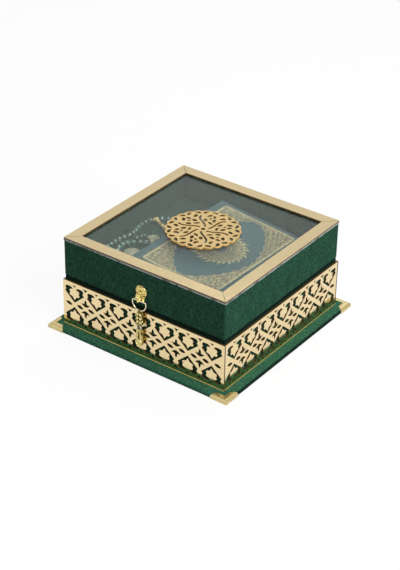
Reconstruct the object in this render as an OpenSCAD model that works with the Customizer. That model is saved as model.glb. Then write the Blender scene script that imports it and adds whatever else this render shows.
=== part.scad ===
// Keepsake box for a holy book: a velvet base with metal corners, a tray behind a pierced lattice,
// and a hinged lid with a framed clear top. A book and a string of prayer beads lie inside.
// Millimetres. +Z is up, the pull is on the -Y side, the hinges are on the +Y side.

/* [Base] */
// Side of the square base, over its metal corners
base_w = 250; // [220:1:300]
// Width of the ledge that the base shows round the lattice
ledge = 13.4; // [8:0.1:24]
// Thickness of the base board
base_board_t = 3.4; // [3:0.1:8]
// Rounding of the top edge of the base
base_round = 3; // [1:0.1:3.2]
// Width of velvet turned under the base
turn_under = 15; // [8:1:30]
// Clearance round the felt sheet
felt_gap = 0.4; // [0.2:0.1:2]

/* [Metal corners] */
// Sheet thickness of the corners
metal_t = 0.4; // [0.3:0.05:0.8]
// Length of each arm along the edge
corner_arm = 22; // [14:1:30]
// Width of the flange on top
corner_flange = 7; // [4:0.5:9]
// Slant of the arm's cut end
corner_slant = 5.5; // [1:0.5:6]
// Diameter of the small hole at the tip
corner_hole_d = 1.6; // [0.8:0.1:2.4]

/* [Velvet] */
// Thickness of the velvet
velvet_t = 0.6; // [0.4:0.1:1]

/* [Tray] */
// Height of velvet that shows between the lattice and the rim
rim_reveal = 5.1; // [3:0.1:12]
// Thickness of the tray walls
tray_wall_t = 7; // [6:0.5:9]

/* [Lattice] */
// Height of the lattice panels
lattice_h = 57.6; // [57:0.1:70]
// Thickness of the lattice panels
lattice_t = 2; // [1.5:0.1:3]
// Wanted spacing of the heart columns, which is fitted to the panel
heart_pitch = 31.5; // [30:0.1:38]
// Solid margin at each end of a panel
lattice_margin = 0.6; // [0.4:0.1:4]
// Height of the pattern's middle above the middle of the panel
pattern_lift = 0.5; // [0:0.1:0.6]
// Half width of a diagonal band, measured upright
band_half = 2.8; // [2.2:0.1:3]
// Half width of a heart at its side points
heart_half_w = 13.7; // [13:0.1:14]
// Sideways place of the centre of a heart's outer lobe
lobe_x = 10; // [9.8:0.1:10.2]
// Height of the lobe's centre above the middle of the pattern
lobe_z = 19.9; // [19.7:0.1:20.2]
// Radius of the outer lobe
lobe_r = 2.9; // [2.7:0.1:3]
// Distance of the small triangles from the panel's edge
triangle_edge = 3.5; // [3:0.1:3.6]
// Height of a small triangle over a heart
triangle_h = 2.9; // [2:0.1:3]
// Half width of a small triangle over a heart
triangle_half = 2.9; // [2:0.1:3.2]
// How much larger the triangles between two hearts are
triangle_more = 1.3; // [1:0.05:1.35]
// Length of an almond leaf
almond_l = 9.6; // [6:0.1:9.8]
// Width of an almond leaf
almond_w = 4.3; // [2:0.1:4.4]
// Distance of an almond leaf from the middle of its diamond
almond_x = 7.9; // [7.4:0.1:8]
// Height and depth of the gold line at the lattice's foot
foot_trim = 0.5; // [0.4:0.1:1.6]

/* [Platform] */
// Clearance between the raised floor and the tray
platform_gap = 0.5; // [0.3:0.1:2]
// Height of the raised floor above the tray's rim
floor_rise = 10.8; // [4:0.1:14]
// Thickness of the floor board
platform_board_t = 3; // [2:0.5:6]
// Thickness of the rails under the floor
platform_rail_t = 6; // [4:0.5:10]
// Rounding of the floor's edge
platform_round = 2; // [0.8:0.1:3]
// Glue line between butted rails and strips
joint_gap = 0.1; // [0.05:0.05:0.3]

/* [Lid] */
// How far the lid stands out over the tray
lid_over = 0.6; // [0.2:0.1:1.6]
// Height of the velvet walls of the lid
lid_h = 44.4; // [40:0.1:60]
// Thickness of the lid walls
lid_wall_t = 7; // [6:0.5:8.5]
// Rounding of the lid's lower edge
lid_round = 1.8; // [1:0.1:4]
// Rounding of the lid's upright corners
lid_corner_r = 2; // [1:0.1:4]
// Gap between the tray's rim and the lid
seam_gap = 0.3; // [0.2:0.05:0.6]

/* [Window] */
// Inset of pane and frame from the lid's sides
window_inset = 0.2; // [0:0.1:1]
// Thickness of the clear pane
pane_t = 1.8; // [1.5:0.1:4]
// Thickness of the frame strips
frame_t = 1.9; // [1.5:0.1:4]
// Width of the frame strips
frame_w = 14.3; // [11:0.1:20]
// Open joint between two frame strips at a mitre
mitre_gap = 0.4; // [0.1:0.1:0.8]

/* [Medallion] */
// Diameter of the pierced disc over its scallops
medallion_d = 86; // [80:1:110]
// Thickness of the disc
medallion_t = 1.6; // [1.5:0.1:4]
// Number of arms in the whirl
medallion_arms = 6; // [5:1:6]
// Number of scallops round the edge
medallion_scallops = 24; // [20:4:24]
// Width of the whirl's slits
medallion_slit = 2.4; // [1:0.1:2.4]
// Diameter of the hole in the middle
medallion_hole_d = 5.6; // [3:0.1:6]
// Distance of the slits from the hole
slit_start = 3; // [2:0.1:4]
// Distance of the slits from the edge
slit_end = 12; // [11:0.1:16]
// Distance of the outer cuts from the edge
edge_cut_in = 5.2; // [5:0.1:5.4]
// Length of the outer cuts
edge_cut_l = 8.2; // [5:0.1:8.2]
// Width of the outer cuts
edge_cut_w = 4.3; // [2:0.1:4.3]

/* [Hinges] */
// Distance of each hinge from the middle of the box
hinge_x = 62; // [30:1:80]
// Width of a hinge
hinge_w = 24; // [18:1:40]
// Thickness of a hinge leaf
leaf_t = 1; // [0.8:0.1:1.6]
// Radius of the hinge barrel
barrel_r = 1.9; // [1.8:0.1:2.4]
// Radius of the hinge pin
hinge_pin_r = 0.9; // [0.7:0.05:1.1]
// Running clearance round the pin
pin_gap = 0.05; // [0.02:0.01:0.1]
// Clearance between moving hinge parts
hinge_gap = 0.3; // [0.2:0.05:0.5]
// Radius of a hinge screw's shank
screw_r = 0.8; // [0.6:0.05:1]
// Radius of a hinge screw's head
screw_head_r = 1.7; // [1.3:0.1:2]
// Thickness of a hinge screw's head
screw_head_t = 0.5; // [0.3:0.05:0.6]
// Length of a hinge screw
screw_l = 9; // [5:0.5:14]
// Clearance round screws and in their seats
screw_gap = 0.05; // [0.02:0.01:0.1]

/* [Pull] */
// Height of the pull's middle above the lid's lower edge
pull_h = 20.2; // [18:0.1:26]
// Radius of the pull's rosette
rosette_r = 7.2; // [6:0.1:9]
// Height of the rosette's dome
rosette_dome = 4.4; // [3:0.1:6]
// Thickness of the rosette's foot
rosette_foot = 1.4; // [1:0.1:2]
// Number of petals on the rosette
petals = 8; // [6:1:12]
// Distance of the ring's bar below the rosette's middle
bar_drop = 10.2; // [9.6:0.1:12]
// Distance of the ring from the lid's face
ring_out = 4.8; // [4.4:0.1:7]
// Radius of the ring's wire
wire_r = 0.75; // [0.5:0.05:0.9]
// Half width of the ring, to the middle of its wire
ring_half = 9.2; // [8:0.1:10]
// Height of the ring, between wire middles
ring_h = 12.2; // [12:0.1:15]
// Bend radius at the ring's upper corners
ring_bend = 2; // [1.6:0.1:2.4]
// Length of the eye that holds the ring's bar
eye_l = 4; // [3:0.5:8]
// Width of the tab that carries the eye
tab_w = 11; // [8:0.5:12]
// Wall of the eye
eye_wall = 0.9; // [0.6:0.1:1.2]
// Radius of the pull's screw
pull_screw_r = 1.5; // [1:0.1:2]
// Thickness of the washer inside the lid
washer_t = 0.8; // [0.5:0.1:1.5]
// Radius of the washer
washer_r = 4; // [3.5:0.1:6]

/* [Charm] */
// Radius of the wire of the charm's loop
loop_wire_r = 0.6; // [0.4:0.05:0.8]
// Clear radius inside the loop
loop_clear = 1.5; // [1.3:0.05:2]
// Thickness of the flat charm pieces
charm_t = 2.6; // [2:0.1:3.4]
// Length of the pierced cap
cap_l = 17; // [14:0.5:20]
// Width of the pierced cap
cap_w = 8.6; // [7:0.1:10]
// Radius of the crystal
crystal_r = 2.7; // [2:0.1:3]
// Length of the drop
drop_l = 21; // [18:0.5:26]
// Radius of the drop's round end
drop_r = 4.8; // [4:0.1:6]
// Width of the slot in the drop
drop_slot = 2; // [1.2:0.1:3]

/* [Book] */
// Width of the cover, spine to fore edge
book_w = 116.4; // [100:0.2:120]
// Height of the cover
book_l = 164.4; // [140:0.2:170]
// Thickness of the closed book
book_t = 14; // [10:0.5:16]
// Thickness of each cover board
cover_t = 2; // [1.2:0.1:3]
// How far the covers reach past the pages
cover_lip = 3.5; // [1:0.5:6]
// Distance of the fore edge from the floor's right edge
book_edge = 23.3; // [16:0.1:28]
// Place of the book's middle, front to back
book_y = 0.4; // [-6:0.2:6]
// Clearance between the book and the bead that carries it
rest_gap = 0.3; // [0.1:0.05:0.6]
// Turn of the book on the floor
book_turn = -1.5; // [-3:0.1:3]
// Clearance between loose contents and what they lie on
lay_gap = 0.08; // [0.05:0.01:0.2]

/* [Prayer beads] */
// Diameter of a bead
bead_d = 6.4; // [5:0.1:6.5]
// Least gap between beads along the cord
bead_gap = 0.8; // [0.7:0.1:1.6]
// Diameter of a bead on the tail
tail_bead_d = 4.6; // [3.4:0.1:4.8]
// Radius of the hole through a bead
bead_bore_r = 0.8; // [0.7:0.05:1]
// Radius of the cord
cord_r = 0.5; // [0.3:0.05:0.55]
// Length of the stem on the gold collar
stem_l = 23; // [12:1:24]
// Radius of the stem
stem_r = 2.3; // [1.8:0.1:2.4]
// Holes through the stem
stem_holes = 4; // [2:1:5]
// Radius of a hole through the stem
stem_hole_r = 0.9; // [0.5:0.1:1.1]
// Length of the short tassel's threads
short_tassel_l = 15; // [10:1:15]
// Length of the long tassel's threads
long_tassel_l = 22; // [16:1:24]
// Share of their length by which the outer threads are shorter
tassel_draw = 0.25; // [0.25:0.05:0.5]
// Thickness of a tassel's threads
tassel_t = 3; // [2:0.1:4]
// Radius of a tassel's cap
tassel_cap_r = 1.6; // [1.2:0.1:2]
// Length of a tassel's cap
tassel_cap_l = 3; // [2:0.5:4]

/* [Hidden] */
$fn = 48;
eps = 0.01;

velvet = [0.13, 0.27, 0.21];
gold = [0.86, 0.74, 0.48];
brass = [0.80, 0.66, 0.36];
board = [0.62, 0.50, 0.36];

// Levels
under_t = metal_t + velvet_t;
z_board = under_t;
z_base = z_board + base_board_t + velvet_t;
z_rim = z_base + lattice_h + rim_reveal;
z_lid = z_rim + seam_gap;
z_pane = z_lid + lid_h;
z_frame = z_pane + pane_t;
z_floor = z_rim + floor_rise;

// Half widths
base_half = base_w / 2 - metal_t;
lattice_half = base_w / 2 - ledge;
tray_half = lattice_half - lattice_t;
tray_out = tray_half - velvet_t;
tray_in = tray_out - tray_wall_t;
platform_half = tray_in - velvet_t - platform_gap;
lid_half = tray_half + lid_over;
lid_out = lid_half - velvet_t;
lid_in = lid_out - lid_wall_t;
window_half = lid_half - window_inset;

// Hinges
hinge_y = lid_half + hinge_gap + barrel_r;
hinge_z = z_rim + seam_gap / 2;
leaf_in = lid_half - lid_wall_t - 2 * velvet_t - hinge_gap;
knuckle_l = (hinge_w - 2 * hinge_gap) / 3;
screw_y = (lid_in + tray_out) / 2;
screw_x = hinge_w / 3;

// Pull and charm
pull_z = z_lid + pull_h;
ring_y = -lid_half - ring_out;
bar_z = pull_z - bar_drop;
ring_foot_z = bar_z - ring_h;
eye_r = wire_r + pin_gap + eye_wall;
tab_z = bar_z + eye_r - eye_wall / 2;
loop_r = loop_clear + loop_wire_r;
loop_z = ring_foot_z - loop_clear + wire_r + hinge_gap;
cap_top = loop_z - loop_clear - loop_wire_r / 2;
crystal_z = cap_top - cap_l - crystal_r;
drop_top = crystal_z - crystal_r;

// A square plate, from z0 to z1, with its top edge rounded by r
module soft_profile(half, z0, z1, r) {
    translate([-half, z0]) square([2 * half, z1 - z0 - r]);
    translate([r - half, z0]) square([2 * (half - r), z1 - z0]);
    intersection() {
        for (s = [-1, 1]) translate([s * (half - r), z1 - r]) circle(r);
        translate([-half, z1 - r]) square([2 * half, r]);
    }
}

module soft_plate(half, z0, z1, r) {
    intersection() {
        rotate([90, 0, 0]) linear_extrude(2 * half, center = true) soft_profile(half, z0, z1, r);
        rotate([90, 0, 90]) linear_extrude(2 * half, center = true) soft_profile(half, z0, z1, r);
    }
}

module block(half, z0, z1) {
    translate([-half, -half, z0]) cube([2 * half, 2 * half, z1 - z0]);
}

// Cylinders along X and along Y
module rod_x(r, l) {
    rotate([0, 90, 0]) cylinder(r = r, h = l, center = true);
}

module rod_y(r, l) {
    rotate([-90, 0, 0]) cylinder(r = r, h = l);
}

// Base
module base_felt() {
    color([0.10, 0.16, 0.13]) block(base_half - turn_under - felt_gap, 0, z_board);
}

module base_board() {
    color(board)
        soft_plate(base_half - velvet_t, z_board, z_base - velvet_t, base_round - velvet_t);
}

module base_velvet() {
    color(velvet) difference() {
        soft_plate(base_half, metal_t, z_base, base_round);
        soft_plate(base_half - velvet_t, z_board, z_base - velvet_t, base_round - velvet_t);
        block(base_half - turn_under, 0, z_board + eps);
    }
}

// A folded metal corner, drawn at the front right and turned into place
module corner(turn) {
    out = base_half + metal_t;
    outline = [
        [0, 0], [-corner_arm, 0], [corner_slant - corner_arm, corner_flange],
        [-corner_flange, corner_flange], [-corner_flange, corner_arm - corner_slant], [0, corner_arm]
    ];
    color(brass) rotate(turn) difference() {
        intersection() {
            soft_plate(out, 0, z_base + metal_t, base_round + metal_t);
            translate([out, -out, 0]) linear_extrude(z_base + metal_t) polygon(outline);
        }
        soft_plate(base_half, metal_t, z_base, base_round);
        translate([out, -out, z_base - base_round]) rotate([90, 0, -45])
            cylinder(d = corner_hole_d, h = 2 * corner_flange, center = true);
    }
}

module corner_front_right() { corner(0); }
module corner_back_right() { corner(90); }
module corner_back_left() { corner(180); }
module corner_front_left() { corner(270); }

// Tray: two walls run the full width and two fit between them
module tray_wall_long() {
    translate([-tray_out, -tray_out, z_base])
        cube([2 * tray_out, tray_wall_t, z_rim - velvet_t - z_base]);
}

module tray_wall_short() {
    translate([tray_in, -tray_in, z_base])
        cube([tray_wall_t, 2 * tray_in, z_rim - velvet_t - z_base]);
}

module tray_wall_front() { color(board) tray_wall_long(); }
module tray_wall_right() { color(board) tray_wall_short(); }
module tray_wall_left() { color(board) mirror([1, 0, 0]) tray_wall_short(); }

module tray_wall_back() {
    color(board) difference() {
        mirror([0, 1, 0]) tray_wall_long();
        leaf_seats();
        screw_holes(z_rim, -1);
    }
}

module tray_velvet() {
    color(velvet) difference() {
        block(tray_half, z_base, z_rim);
        block(tray_in - velvet_t, z_base - eps, z_rim + eps);
        difference() {
            block(tray_out, z_base - eps, z_rim - velvet_t);
            block(tray_in, z_base - 2 * eps, z_rim);
        }
        leaf_seats();
    }
}

// Lattice: one heart is a wide ring cut round a leaf, which hangs by its neck from the border
function arc(c, r, a0, a1, n) =
    [for (i = [0 : n]) let (a = a0 + (a1 - a0) * i / n) c + r * [cos(a), sin(a)]];
function flip(pts) = [for (i = [len(pts) - 1 : -1 : 0]) [-pts[i].x, pts[i].y]];
function both_sides(half) = concat(half, flip([for (i = [1 : len(half) - 2]) half[i]]));

// Right half of an upper heart, from its tip round the lobe and back along the leaf's edge
function heart_outline() = let (lobe = [lobe_x, lobe_z]) concat(
    [[0, band_half], [heart_half_w, band_half + 0.89 * heart_half_w]],
    arc(lobe, lobe_r, -50, 105, 7),
    arc(lobe - [3.1, lobe_r], lobe_r + 3, 80, 145, 5),
    arc(lobe - [5.1, 2.6], 2.1, 75, -60, 5),
    arc(lobe - [4.8, 6.9], 1.95, 50, -100, 6),
    [lobe - [7.3, 9.5], [0, lobe_z - 13.5]]
);

module heart() {
    polygon(both_sides(heart_outline()));
}

// A curved triangle between the lobes and the border, k times its size over a heart
module border_triangle(z, k) {
    sag = 0.5;
    half = k * triangle_half;
    h = k * triangle_h;
    polygon([
        [-half, z], [half, z], [half / 2 - sag / 2, z - h / 2 + sag],
        [0, z - h], [sag / 2 - half / 2, z - h / 2 + sag]
    ]);
}

// A leaf over and under one straight line, between two arcs that rise by up and by down
function bow(l, rise) = let (r = (l * l / 4 + rise * rise) / (2 * rise), a = asin(l / 2 / r))
    arc([0, rise - r], r, 90 + a, 90 - a, 6);
function leaf(l, up, down) = let (under = bow(l, down)) concat(
    bow(l, up), [for (i = [len(under) - 2 : -1 : 1]) [under[i].x, -under[i].y]]
);
function almond(l, w) = leaf(l, w / 2, w / 2);

module almond_leaf(x) {
    translate([x, 0]) rotate(-12) polygon(almond(almond_l, almond_w));
}

// A tulip of three pointed petals that stands on the diamond's middle
module tulip() {
    polygon(both_sides([
        [0, 2.4], [3.4, 3.7], [6.6, 6.8], [3.8, 6.3], [1.6, 7.1], [1.7, 9.2], [0, 12.3]
    ]));
}

module lattice_outline(l) {
    columns = round(l / heart_pitch);
    ends = l / 2 - lattice_margin;
    pitch = 2 * ends / columns;
    half_h = lattice_h / 2;
    difference() {
        translate([-l / 2, -half_h]) square([l, lattice_h]);
        translate([0, pattern_lift]) {
            for (i = [0 : columns - 1]) translate([pitch * (i + 0.5) - ends, 0])
                for (m = [0, 1]) mirror([0, m]) {
                    heart();
                    border_triangle(half_h - triangle_edge, 1);
                }
            for (i = [1 : columns - 1]) translate([pitch * i - ends, 0]) {
                for (s = [-1, 1]) almond_leaf(s * almond_x);
                for (m = [0, 1]) mirror([0, m]) {
                    tulip();
                    border_triangle(half_h - triangle_edge, triangle_more);
                }
            }
            for (s = [-1, 1]) almond_leaf(s * (ends - almond_x));
        }
    }
}

module lattice_panel(l) {
    color(gold) translate([0, -tray_half, z_base + lattice_h / 2])
        rotate([90, 0, 0]) linear_extrude(lattice_t) lattice_outline(l);
}

module lattice_front() { lattice_panel(2 * lattice_half); }
module lattice_back() { rotate(180) lattice_panel(2 * lattice_half); }
module lattice_right() { rotate(90) lattice_panel(2 * tray_half); }
module lattice_left() { rotate(-90) lattice_panel(2 * tray_half); }

module lattice_foot() {
    color(gold) for (turn = [0, 90, 180, 270]) rotate(turn)
        translate([-lattice_half + joint_gap, -lattice_half - foot_trim, z_base])
            cube([2 * lattice_half + foot_trim - joint_gap, foot_trim, foot_trim]);
}

// Raised floor for the book and the beads
module platform_rails() {
    out = platform_half - velvet_t;
    top = z_floor - velvet_t - platform_board_t;
    color(board) {
        for (s = [0, 180]) rotate(s) translate([-out, -out, z_base])
            cube([2 * out, platform_rail_t, top - z_base]);
        for (s = [0, 180]) rotate(s) translate([-out, platform_rail_t + joint_gap - out, z_base])
            cube([platform_rail_t, 2 * (out - platform_rail_t - joint_gap), top - z_base]);
    }
}

module platform_board() {
    top = z_floor - velvet_t;
    color(board)
        soft_plate(platform_half - velvet_t, top - platform_board_t, top, platform_round - velvet_t);
}

module platform_velvet() {
    color(velvet) difference() {
        soft_plate(platform_half, z_base, z_floor, platform_round);
        soft_plate(platform_half - velvet_t, z_base - 1, z_floor - velvet_t, platform_round - velvet_t);
    }
}

// The lid's outer form, drawn in by d, with its lower edge and upright corners rounded
module lid_form(d) {
    half = lid_half - d;
    r = lid_corner_r - d;
    intersection() {
        translate([0, 0, z_pane + z_lid + d]) mirror([0, 0, 1])
            soft_plate(half, z_lid, z_pane, lid_round - d);
        linear_extrude(2 * z_pane) {
            square([2 * half, 2 * (half - r)], center = true);
            square([2 * (half - r), 2 * half], center = true);
            for (x = [-1, 1], y = [-1, 1]) translate([x, y] * (half - r)) circle(r);
        }
    }
}

module lid_wall_long() {
    intersection() {
        lid_form(velvet_t);
        translate([-lid_half, -lid_half, z_lid]) cube([2 * lid_half, lid_half - lid_in, z_pane - z_lid]);
    }
}

module lid_wall_short() {
    intersection() {
        lid_form(velvet_t);
        translate([lid_in, -lid_in, z_lid]) cube([lid_wall_t + velvet_t, 2 * lid_in, z_pane - z_lid]);
    }
}

module lid_wall_right() { color(board) lid_wall_short(); }
module lid_wall_left() { color(board) mirror([1, 0, 0]) lid_wall_short(); }

module lid_wall_front() {
    color(board) difference() {
        lid_wall_long();
        pull_hole();
    }
}

module lid_wall_back() {
    color(board) difference() {
        mirror([0, 1, 0]) lid_wall_long();
        leaf_seats();
        screw_holes(z_lid, 1);
    }
}

module lid_velvet() {
    color(velvet) difference() {
        lid_form(0);
        block(lid_in - velvet_t, z_lid - eps, z_pane + eps);
        difference() {
            lid_form(velvet_t);
            block(lid_in, z_lid - eps, z_pane + eps);
        }
        leaf_seats();
        pull_hole();
    }
}

module pull_hole() {
    translate([0, -lid_half - eps, pull_z])
        rod_y(pull_screw_r + screw_gap, lid_half - lid_in + velvet_t + 2 * eps);
}

// Window: a clear pane with four mitred frame strips glued on it
module lid_pane() {
    color([0.75, 0.85, 0.82, 0.4]) block(window_half, z_pane, z_frame);
}

module frame_strip(turn) {
    low = window_half - mitre_gap / sqrt(2);
    high = low - frame_w;
    color(gold) rotate(turn) translate([0, -window_half, z_frame]) linear_extrude(frame_t)
        polygon([[-low, 0], [low, 0], [high, frame_w], [-high, frame_w]]);
}

module frame_front() { frame_strip(0); }
module frame_right() { frame_strip(90); }
module frame_back() { frame_strip(180); }
module frame_left() { frame_strip(270); }

// Medallion: a scalloped disc with a whirl of curved slits and rows of leaf cuts
function polar(r, a) = r * [cos(a), sin(a)];
function whirl(t) = (1 - t) * (32.5 * t - 27 * (1 - t));

module whirl_slit(r0, r1) {
    n = 10;
    half = medallion_slit / 2;
    spine = [for (i = [0 : n]) let (t = i / n) polar(r0 + (r1 - r0) * t, whirl(t))];
    side = [for (i = [0 : n]) let (d = spine[min(i + 1, n)] - spine[max(i - 1, 0)])
        half * [-d.y, d.x] / norm(d)];
    polygon(concat(
        [for (i = [0 : n]) spine[i] + side[i]], [for (i = [n : -1 : 0]) spine[i] - side[i]]
    ));
}

// Leaf cuts of one sector: distance from the middle, angle, slant, length and width
medallion_cuts = [
    [15.9, 24, -20, 8.6, 3.4], [22.6, 20, -66, 7.4, 4.5], [21.2, 47, -72, 7, 4.5], [30, 28.5, -65, 6.8, 3.8],
    [25.2, 35.5, -60, 4.6, 2.5], [32.4, 12.5, 47, 7.6, 4.3], [31.8, 42.4, 47, 7.8, 4.4]
];

module medallion() {
    r = medallion_d / 2;
    k = r / 43.5;
    scallop_r = 1.25 * PI * r / medallion_scallops;
    color(gold) translate([0, 0, z_frame]) linear_extrude(medallion_t) difference() {
        union() {
            circle(r - scallop_r / 2);
            for (i = [0 : medallion_scallops - 1]) rotate(360 * i / medallion_scallops)
                translate([r - scallop_r, 0]) circle(scallop_r);
        }
        circle(d = medallion_hole_d, $fn = 6);
        for (i = [0 : medallion_arms - 1]) rotate(360 * i / medallion_arms + 10) {
            whirl_slit(medallion_hole_d / 2 + slit_start, r - slit_end);
            for (c = medallion_cuts) rotate(c[1] * 6 / medallion_arms) translate([c[0] * k, 0])
                rotate(90 + c[2]) polygon(leaf(c[3] * k, c[4] * k * 0.7, c[4] * k * 0.3));
        }
        for (i = [0 : medallion_scallops - 1]) rotate(360 * i / medallion_scallops)
            translate([r - edge_cut_in, 0]) rotate(i % 2 == 0 ? 137 : 62)
                polygon(leaf(edge_cut_l, edge_cut_w * 0.3, edge_cut_w * 0.7));
    }
}

// Hinges: each leaf is let into a rim, and three knuckles share one pin
module leaf_seats() {
    for (s = [-1, 1]) translate([s * hinge_x - hinge_w / 2 - screw_gap, leaf_in - screw_gap, z_rim - leaf_t])
        cube([hinge_w + 2 * screw_gap, hinge_y - leaf_in, 2 * leaf_t + seam_gap]);
}

module screw_spots() {
    for (s = [-1, 1], k = [-1, 1]) translate([s * hinge_x + k * screw_x, screw_y, 0]) children();
}

module screw_holes(z, up) {
    screw_spots() translate([0, 0, z]) mirror([0, 0, up < 0 ? 1 : 0])
        cylinder(r = screw_r + screw_gap, h = screw_l + screw_gap);
}

// A leaf with its top face at z; up is 1 for the lid's leaf and -1 for the tray's
module leaf(z, up, knuckles) {
    floor_z = up > 0 ? z : z - leaf_t;
    bore = hinge_pin_r + pin_gap;
    difference() {
        union() {
            translate([-hinge_w / 2, leaf_in, floor_z]) cube([hinge_w, lid_half - leaf_in, leaf_t]);
            for (k = knuckles) translate([k * (knuckle_l + hinge_gap), 0, 0]) {
                translate([-knuckle_l / 2, lid_half - eps, floor_z])
                    cube([knuckle_l, hinge_y - lid_half + eps, leaf_t]);
                translate([0, hinge_y, hinge_z]) rod_x(barrel_r, knuckle_l);
            }
        }
        translate([0, hinge_y, hinge_z]) rod_x(bore, 2 * hinge_w);
        for (k = [-1, 1]) translate([k * screw_x, screw_y, z]) mirror([0, 0, up < 0 ? 1 : 0]) {
            translate([0, 0, -eps]) cylinder(r = screw_r + screw_gap, h = leaf_t + 2 * eps);
            translate([0, 0, -eps]) cylinder(r = screw_head_r + screw_gap, h = screw_head_t + eps);
        }
    }
}

module hinge_leaf_lower_left() { color(brass) translate([-hinge_x, 0, 0]) leaf(z_rim, -1, [-1, 1]); }
module hinge_leaf_lower_right() { color(brass) translate([hinge_x, 0, 0]) leaf(z_rim, -1, [-1, 1]); }
module hinge_leaf_upper_left() { color(brass) translate([-hinge_x, 0, 0]) leaf(z_lid, 1, [0]); }
module hinge_leaf_upper_right() { color(brass) translate([hinge_x, 0, 0]) leaf(z_lid, 1, [0]); }

module hinge_pins() {
    color(brass) for (s = [-1, 1]) translate([s * hinge_x, hinge_y, hinge_z]) rod_x(hinge_pin_r, hinge_w);
}

module hinge_screw() {
    cylinder(r = screw_head_r, h = screw_head_t);
    cylinder(r = screw_r, h = screw_l);
}

module hinge_screws_lower() {
    color(brass) screw_spots() translate([0, 0, z_rim]) mirror([0, 0, 1]) hinge_screw();
}

module hinge_screws_upper() {
    color(brass) screw_spots() translate([0, 0, z_lid]) hinge_screw();
}

// Pull: a cast rosette with an eye that holds the ring's bar
module pull_rosette() {
    dome_r = (rosette_dome * rosette_dome + rosette_r * rosette_r) / (2 * rosette_dome);
    petal_r = rosette_r * 0.2;
    web_top = pull_z - rosette_r * 0.5;
    color(gold) difference() {
        union() {
            translate([0, -lid_half, pull_z]) rotate([90, 0, 0]) {
                cylinder(r = rosette_r, h = rosette_foot);
                translate([0, 0, rosette_foot]) intersection() {
                    translate([0, 0, rosette_dome - dome_r]) sphere(dome_r);
                    cylinder(r = rosette_r, h = rosette_dome);
                }
                for (i = [0 : petals - 1]) rotate(360 * i / petals)
                    translate([rosette_r * 0.62, 0, rosette_foot + rosette_dome * 0.5]) sphere(petal_r);
                translate([0, 0, rosette_foot + rosette_dome - petal_r * 0.4]) sphere(petal_r * 1.1);
            }
            translate([0, ring_y, bar_z]) rod_x(eye_r, eye_l);
            translate([-tab_w / 2, -lid_half - rosette_foot - eye_wall * 2, tab_z])
                cube([tab_w, eye_wall * 2, web_top - bar_z]);
            translate([-tab_w / 2, ring_y, tab_z])
                cube([tab_w, ring_out - rosette_foot - eye_wall, eye_wall]);
        }
        translate([0, ring_y, bar_z]) rod_x(wire_r + pin_gap, 2 * eye_l);
        translate([0, -lid_half - rosette_foot - rosette_dome / 2, pull_z])
            rod_y(pull_screw_r + screw_gap, 2 * rosette_dome);
    }
}

module pull_washer() {
    color(brass) translate([0, velvet_t - lid_in, pull_z]) difference() {
        rod_y(washer_r, washer_t);
        translate([0, -eps, 0]) rod_y(pull_screw_r + screw_gap, washer_t + 2 * eps);
    }
}

module pull_screw() {
    tip = -lid_half - rosette_foot - rosette_dome / 2 + screw_gap;
    seat = velvet_t - lid_in + washer_t;
    color(brass) {
        translate([0, tip, pull_z]) rod_y(pull_screw_r, seat - tip + washer_t);
        translate([0, seat, pull_z]) rod_y(washer_r - washer_t, 2 * washer_t);
    }
}

// A bend of round wire in the XZ plane, from angle a over the given sweep
module wire_bend(bend_r, wire, a, sweep) {
    rotate([90, 0, 0]) rotate(a) rotate_extrude(angle = sweep) translate([bend_r, 0]) circle(wire);
}

module wire_up(l) {
    cylinder(r = wire_r, h = l);
}

module pull_ring() {
    side = ring_h - ring_half - ring_bend;
    color(gold) translate([0, ring_y, bar_z]) {
        rod_x(wire_r, 2 * (ring_half - ring_bend));
        for (m = [0, 1]) mirror([m, 0, 0]) {
            translate([ring_half - ring_bend, 0, -ring_bend]) wire_bend(ring_bend, wire_r, 0, 90);
            translate([ring_half, 0, -ring_bend - side]) wire_up(side);
        }
        translate([0, 0, -ring_bend - side]) wire_bend(ring_half, wire_r, 180, 180);
    }
}

// Charm: a pierced cap on a loop, a crystal and a slotted drop
module charm_plate() {
    translate([0, ring_y + charm_t / 2, 0]) rotate([90, 0, 0]) linear_extrude(charm_t) children();
}

module charm_cap() {
    bead_r = cap_w * 0.17;
    color(gold) {
        difference() {
            union() {
                translate([0, ring_y, loop_z]) rotate([0, 90, 0])
                    rotate_extrude() translate([loop_r, 0]) circle(loop_wire_r);
                charm_plate() difference() {
                    union() {
                        translate([0, cap_top - cap_w / 2]) circle(cap_w / 2);
                        translate([-cap_w * 0.36, cap_top - cap_l]) square([cap_w * 0.72, cap_l - cap_w / 2]);
                        for (s = [-1, 1], k = [0, 1])
                            translate([s * cap_w * 0.34, cap_top - cap_l * (0.55 + 0.3 * k)])
                                circle(bead_r);
                    }
                    for (k = [0, 1, 2]) translate([0, cap_top - cap_l * (0.26 + 0.25 * k)])
                        rotate(90) polygon(almond(cap_l * 0.2, cap_w * 0.26));
                }
            }
            translate([0, ring_y, crystal_z]) sphere(crystal_r + screw_gap);
        }
    }
}

module charm_crystal() {
    color([0.85, 0.92, 0.95]) translate([0, ring_y, crystal_z]) sphere(crystal_r);
}

module charm_drop() {
    foot = drop_top - drop_l;
    neck = drop_r * 0.62;
    color(gold) difference() {
        charm_plate() difference() {
            union() {
                translate([0, foot + drop_r]) circle(drop_r);
                polygon([
                    [-drop_r * 0.98, foot + drop_r * 1.2], [drop_r * 0.98, foot + drop_r * 1.2],
                    [neck, drop_top + crystal_r * 0.5], [-neck, drop_top + crystal_r * 0.5]
                ]);
            }
            translate([-drop_slot / 2, foot + 2 * drop_r])
                square([drop_slot, drop_l - 2 * drop_r - drop_slot]);
            translate([0, foot + 2 * drop_r]) circle(drop_slot / 2);
        }
        translate([0, ring_y, crystal_z]) sphere(crystal_r + screw_gap);
    }
}

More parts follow.
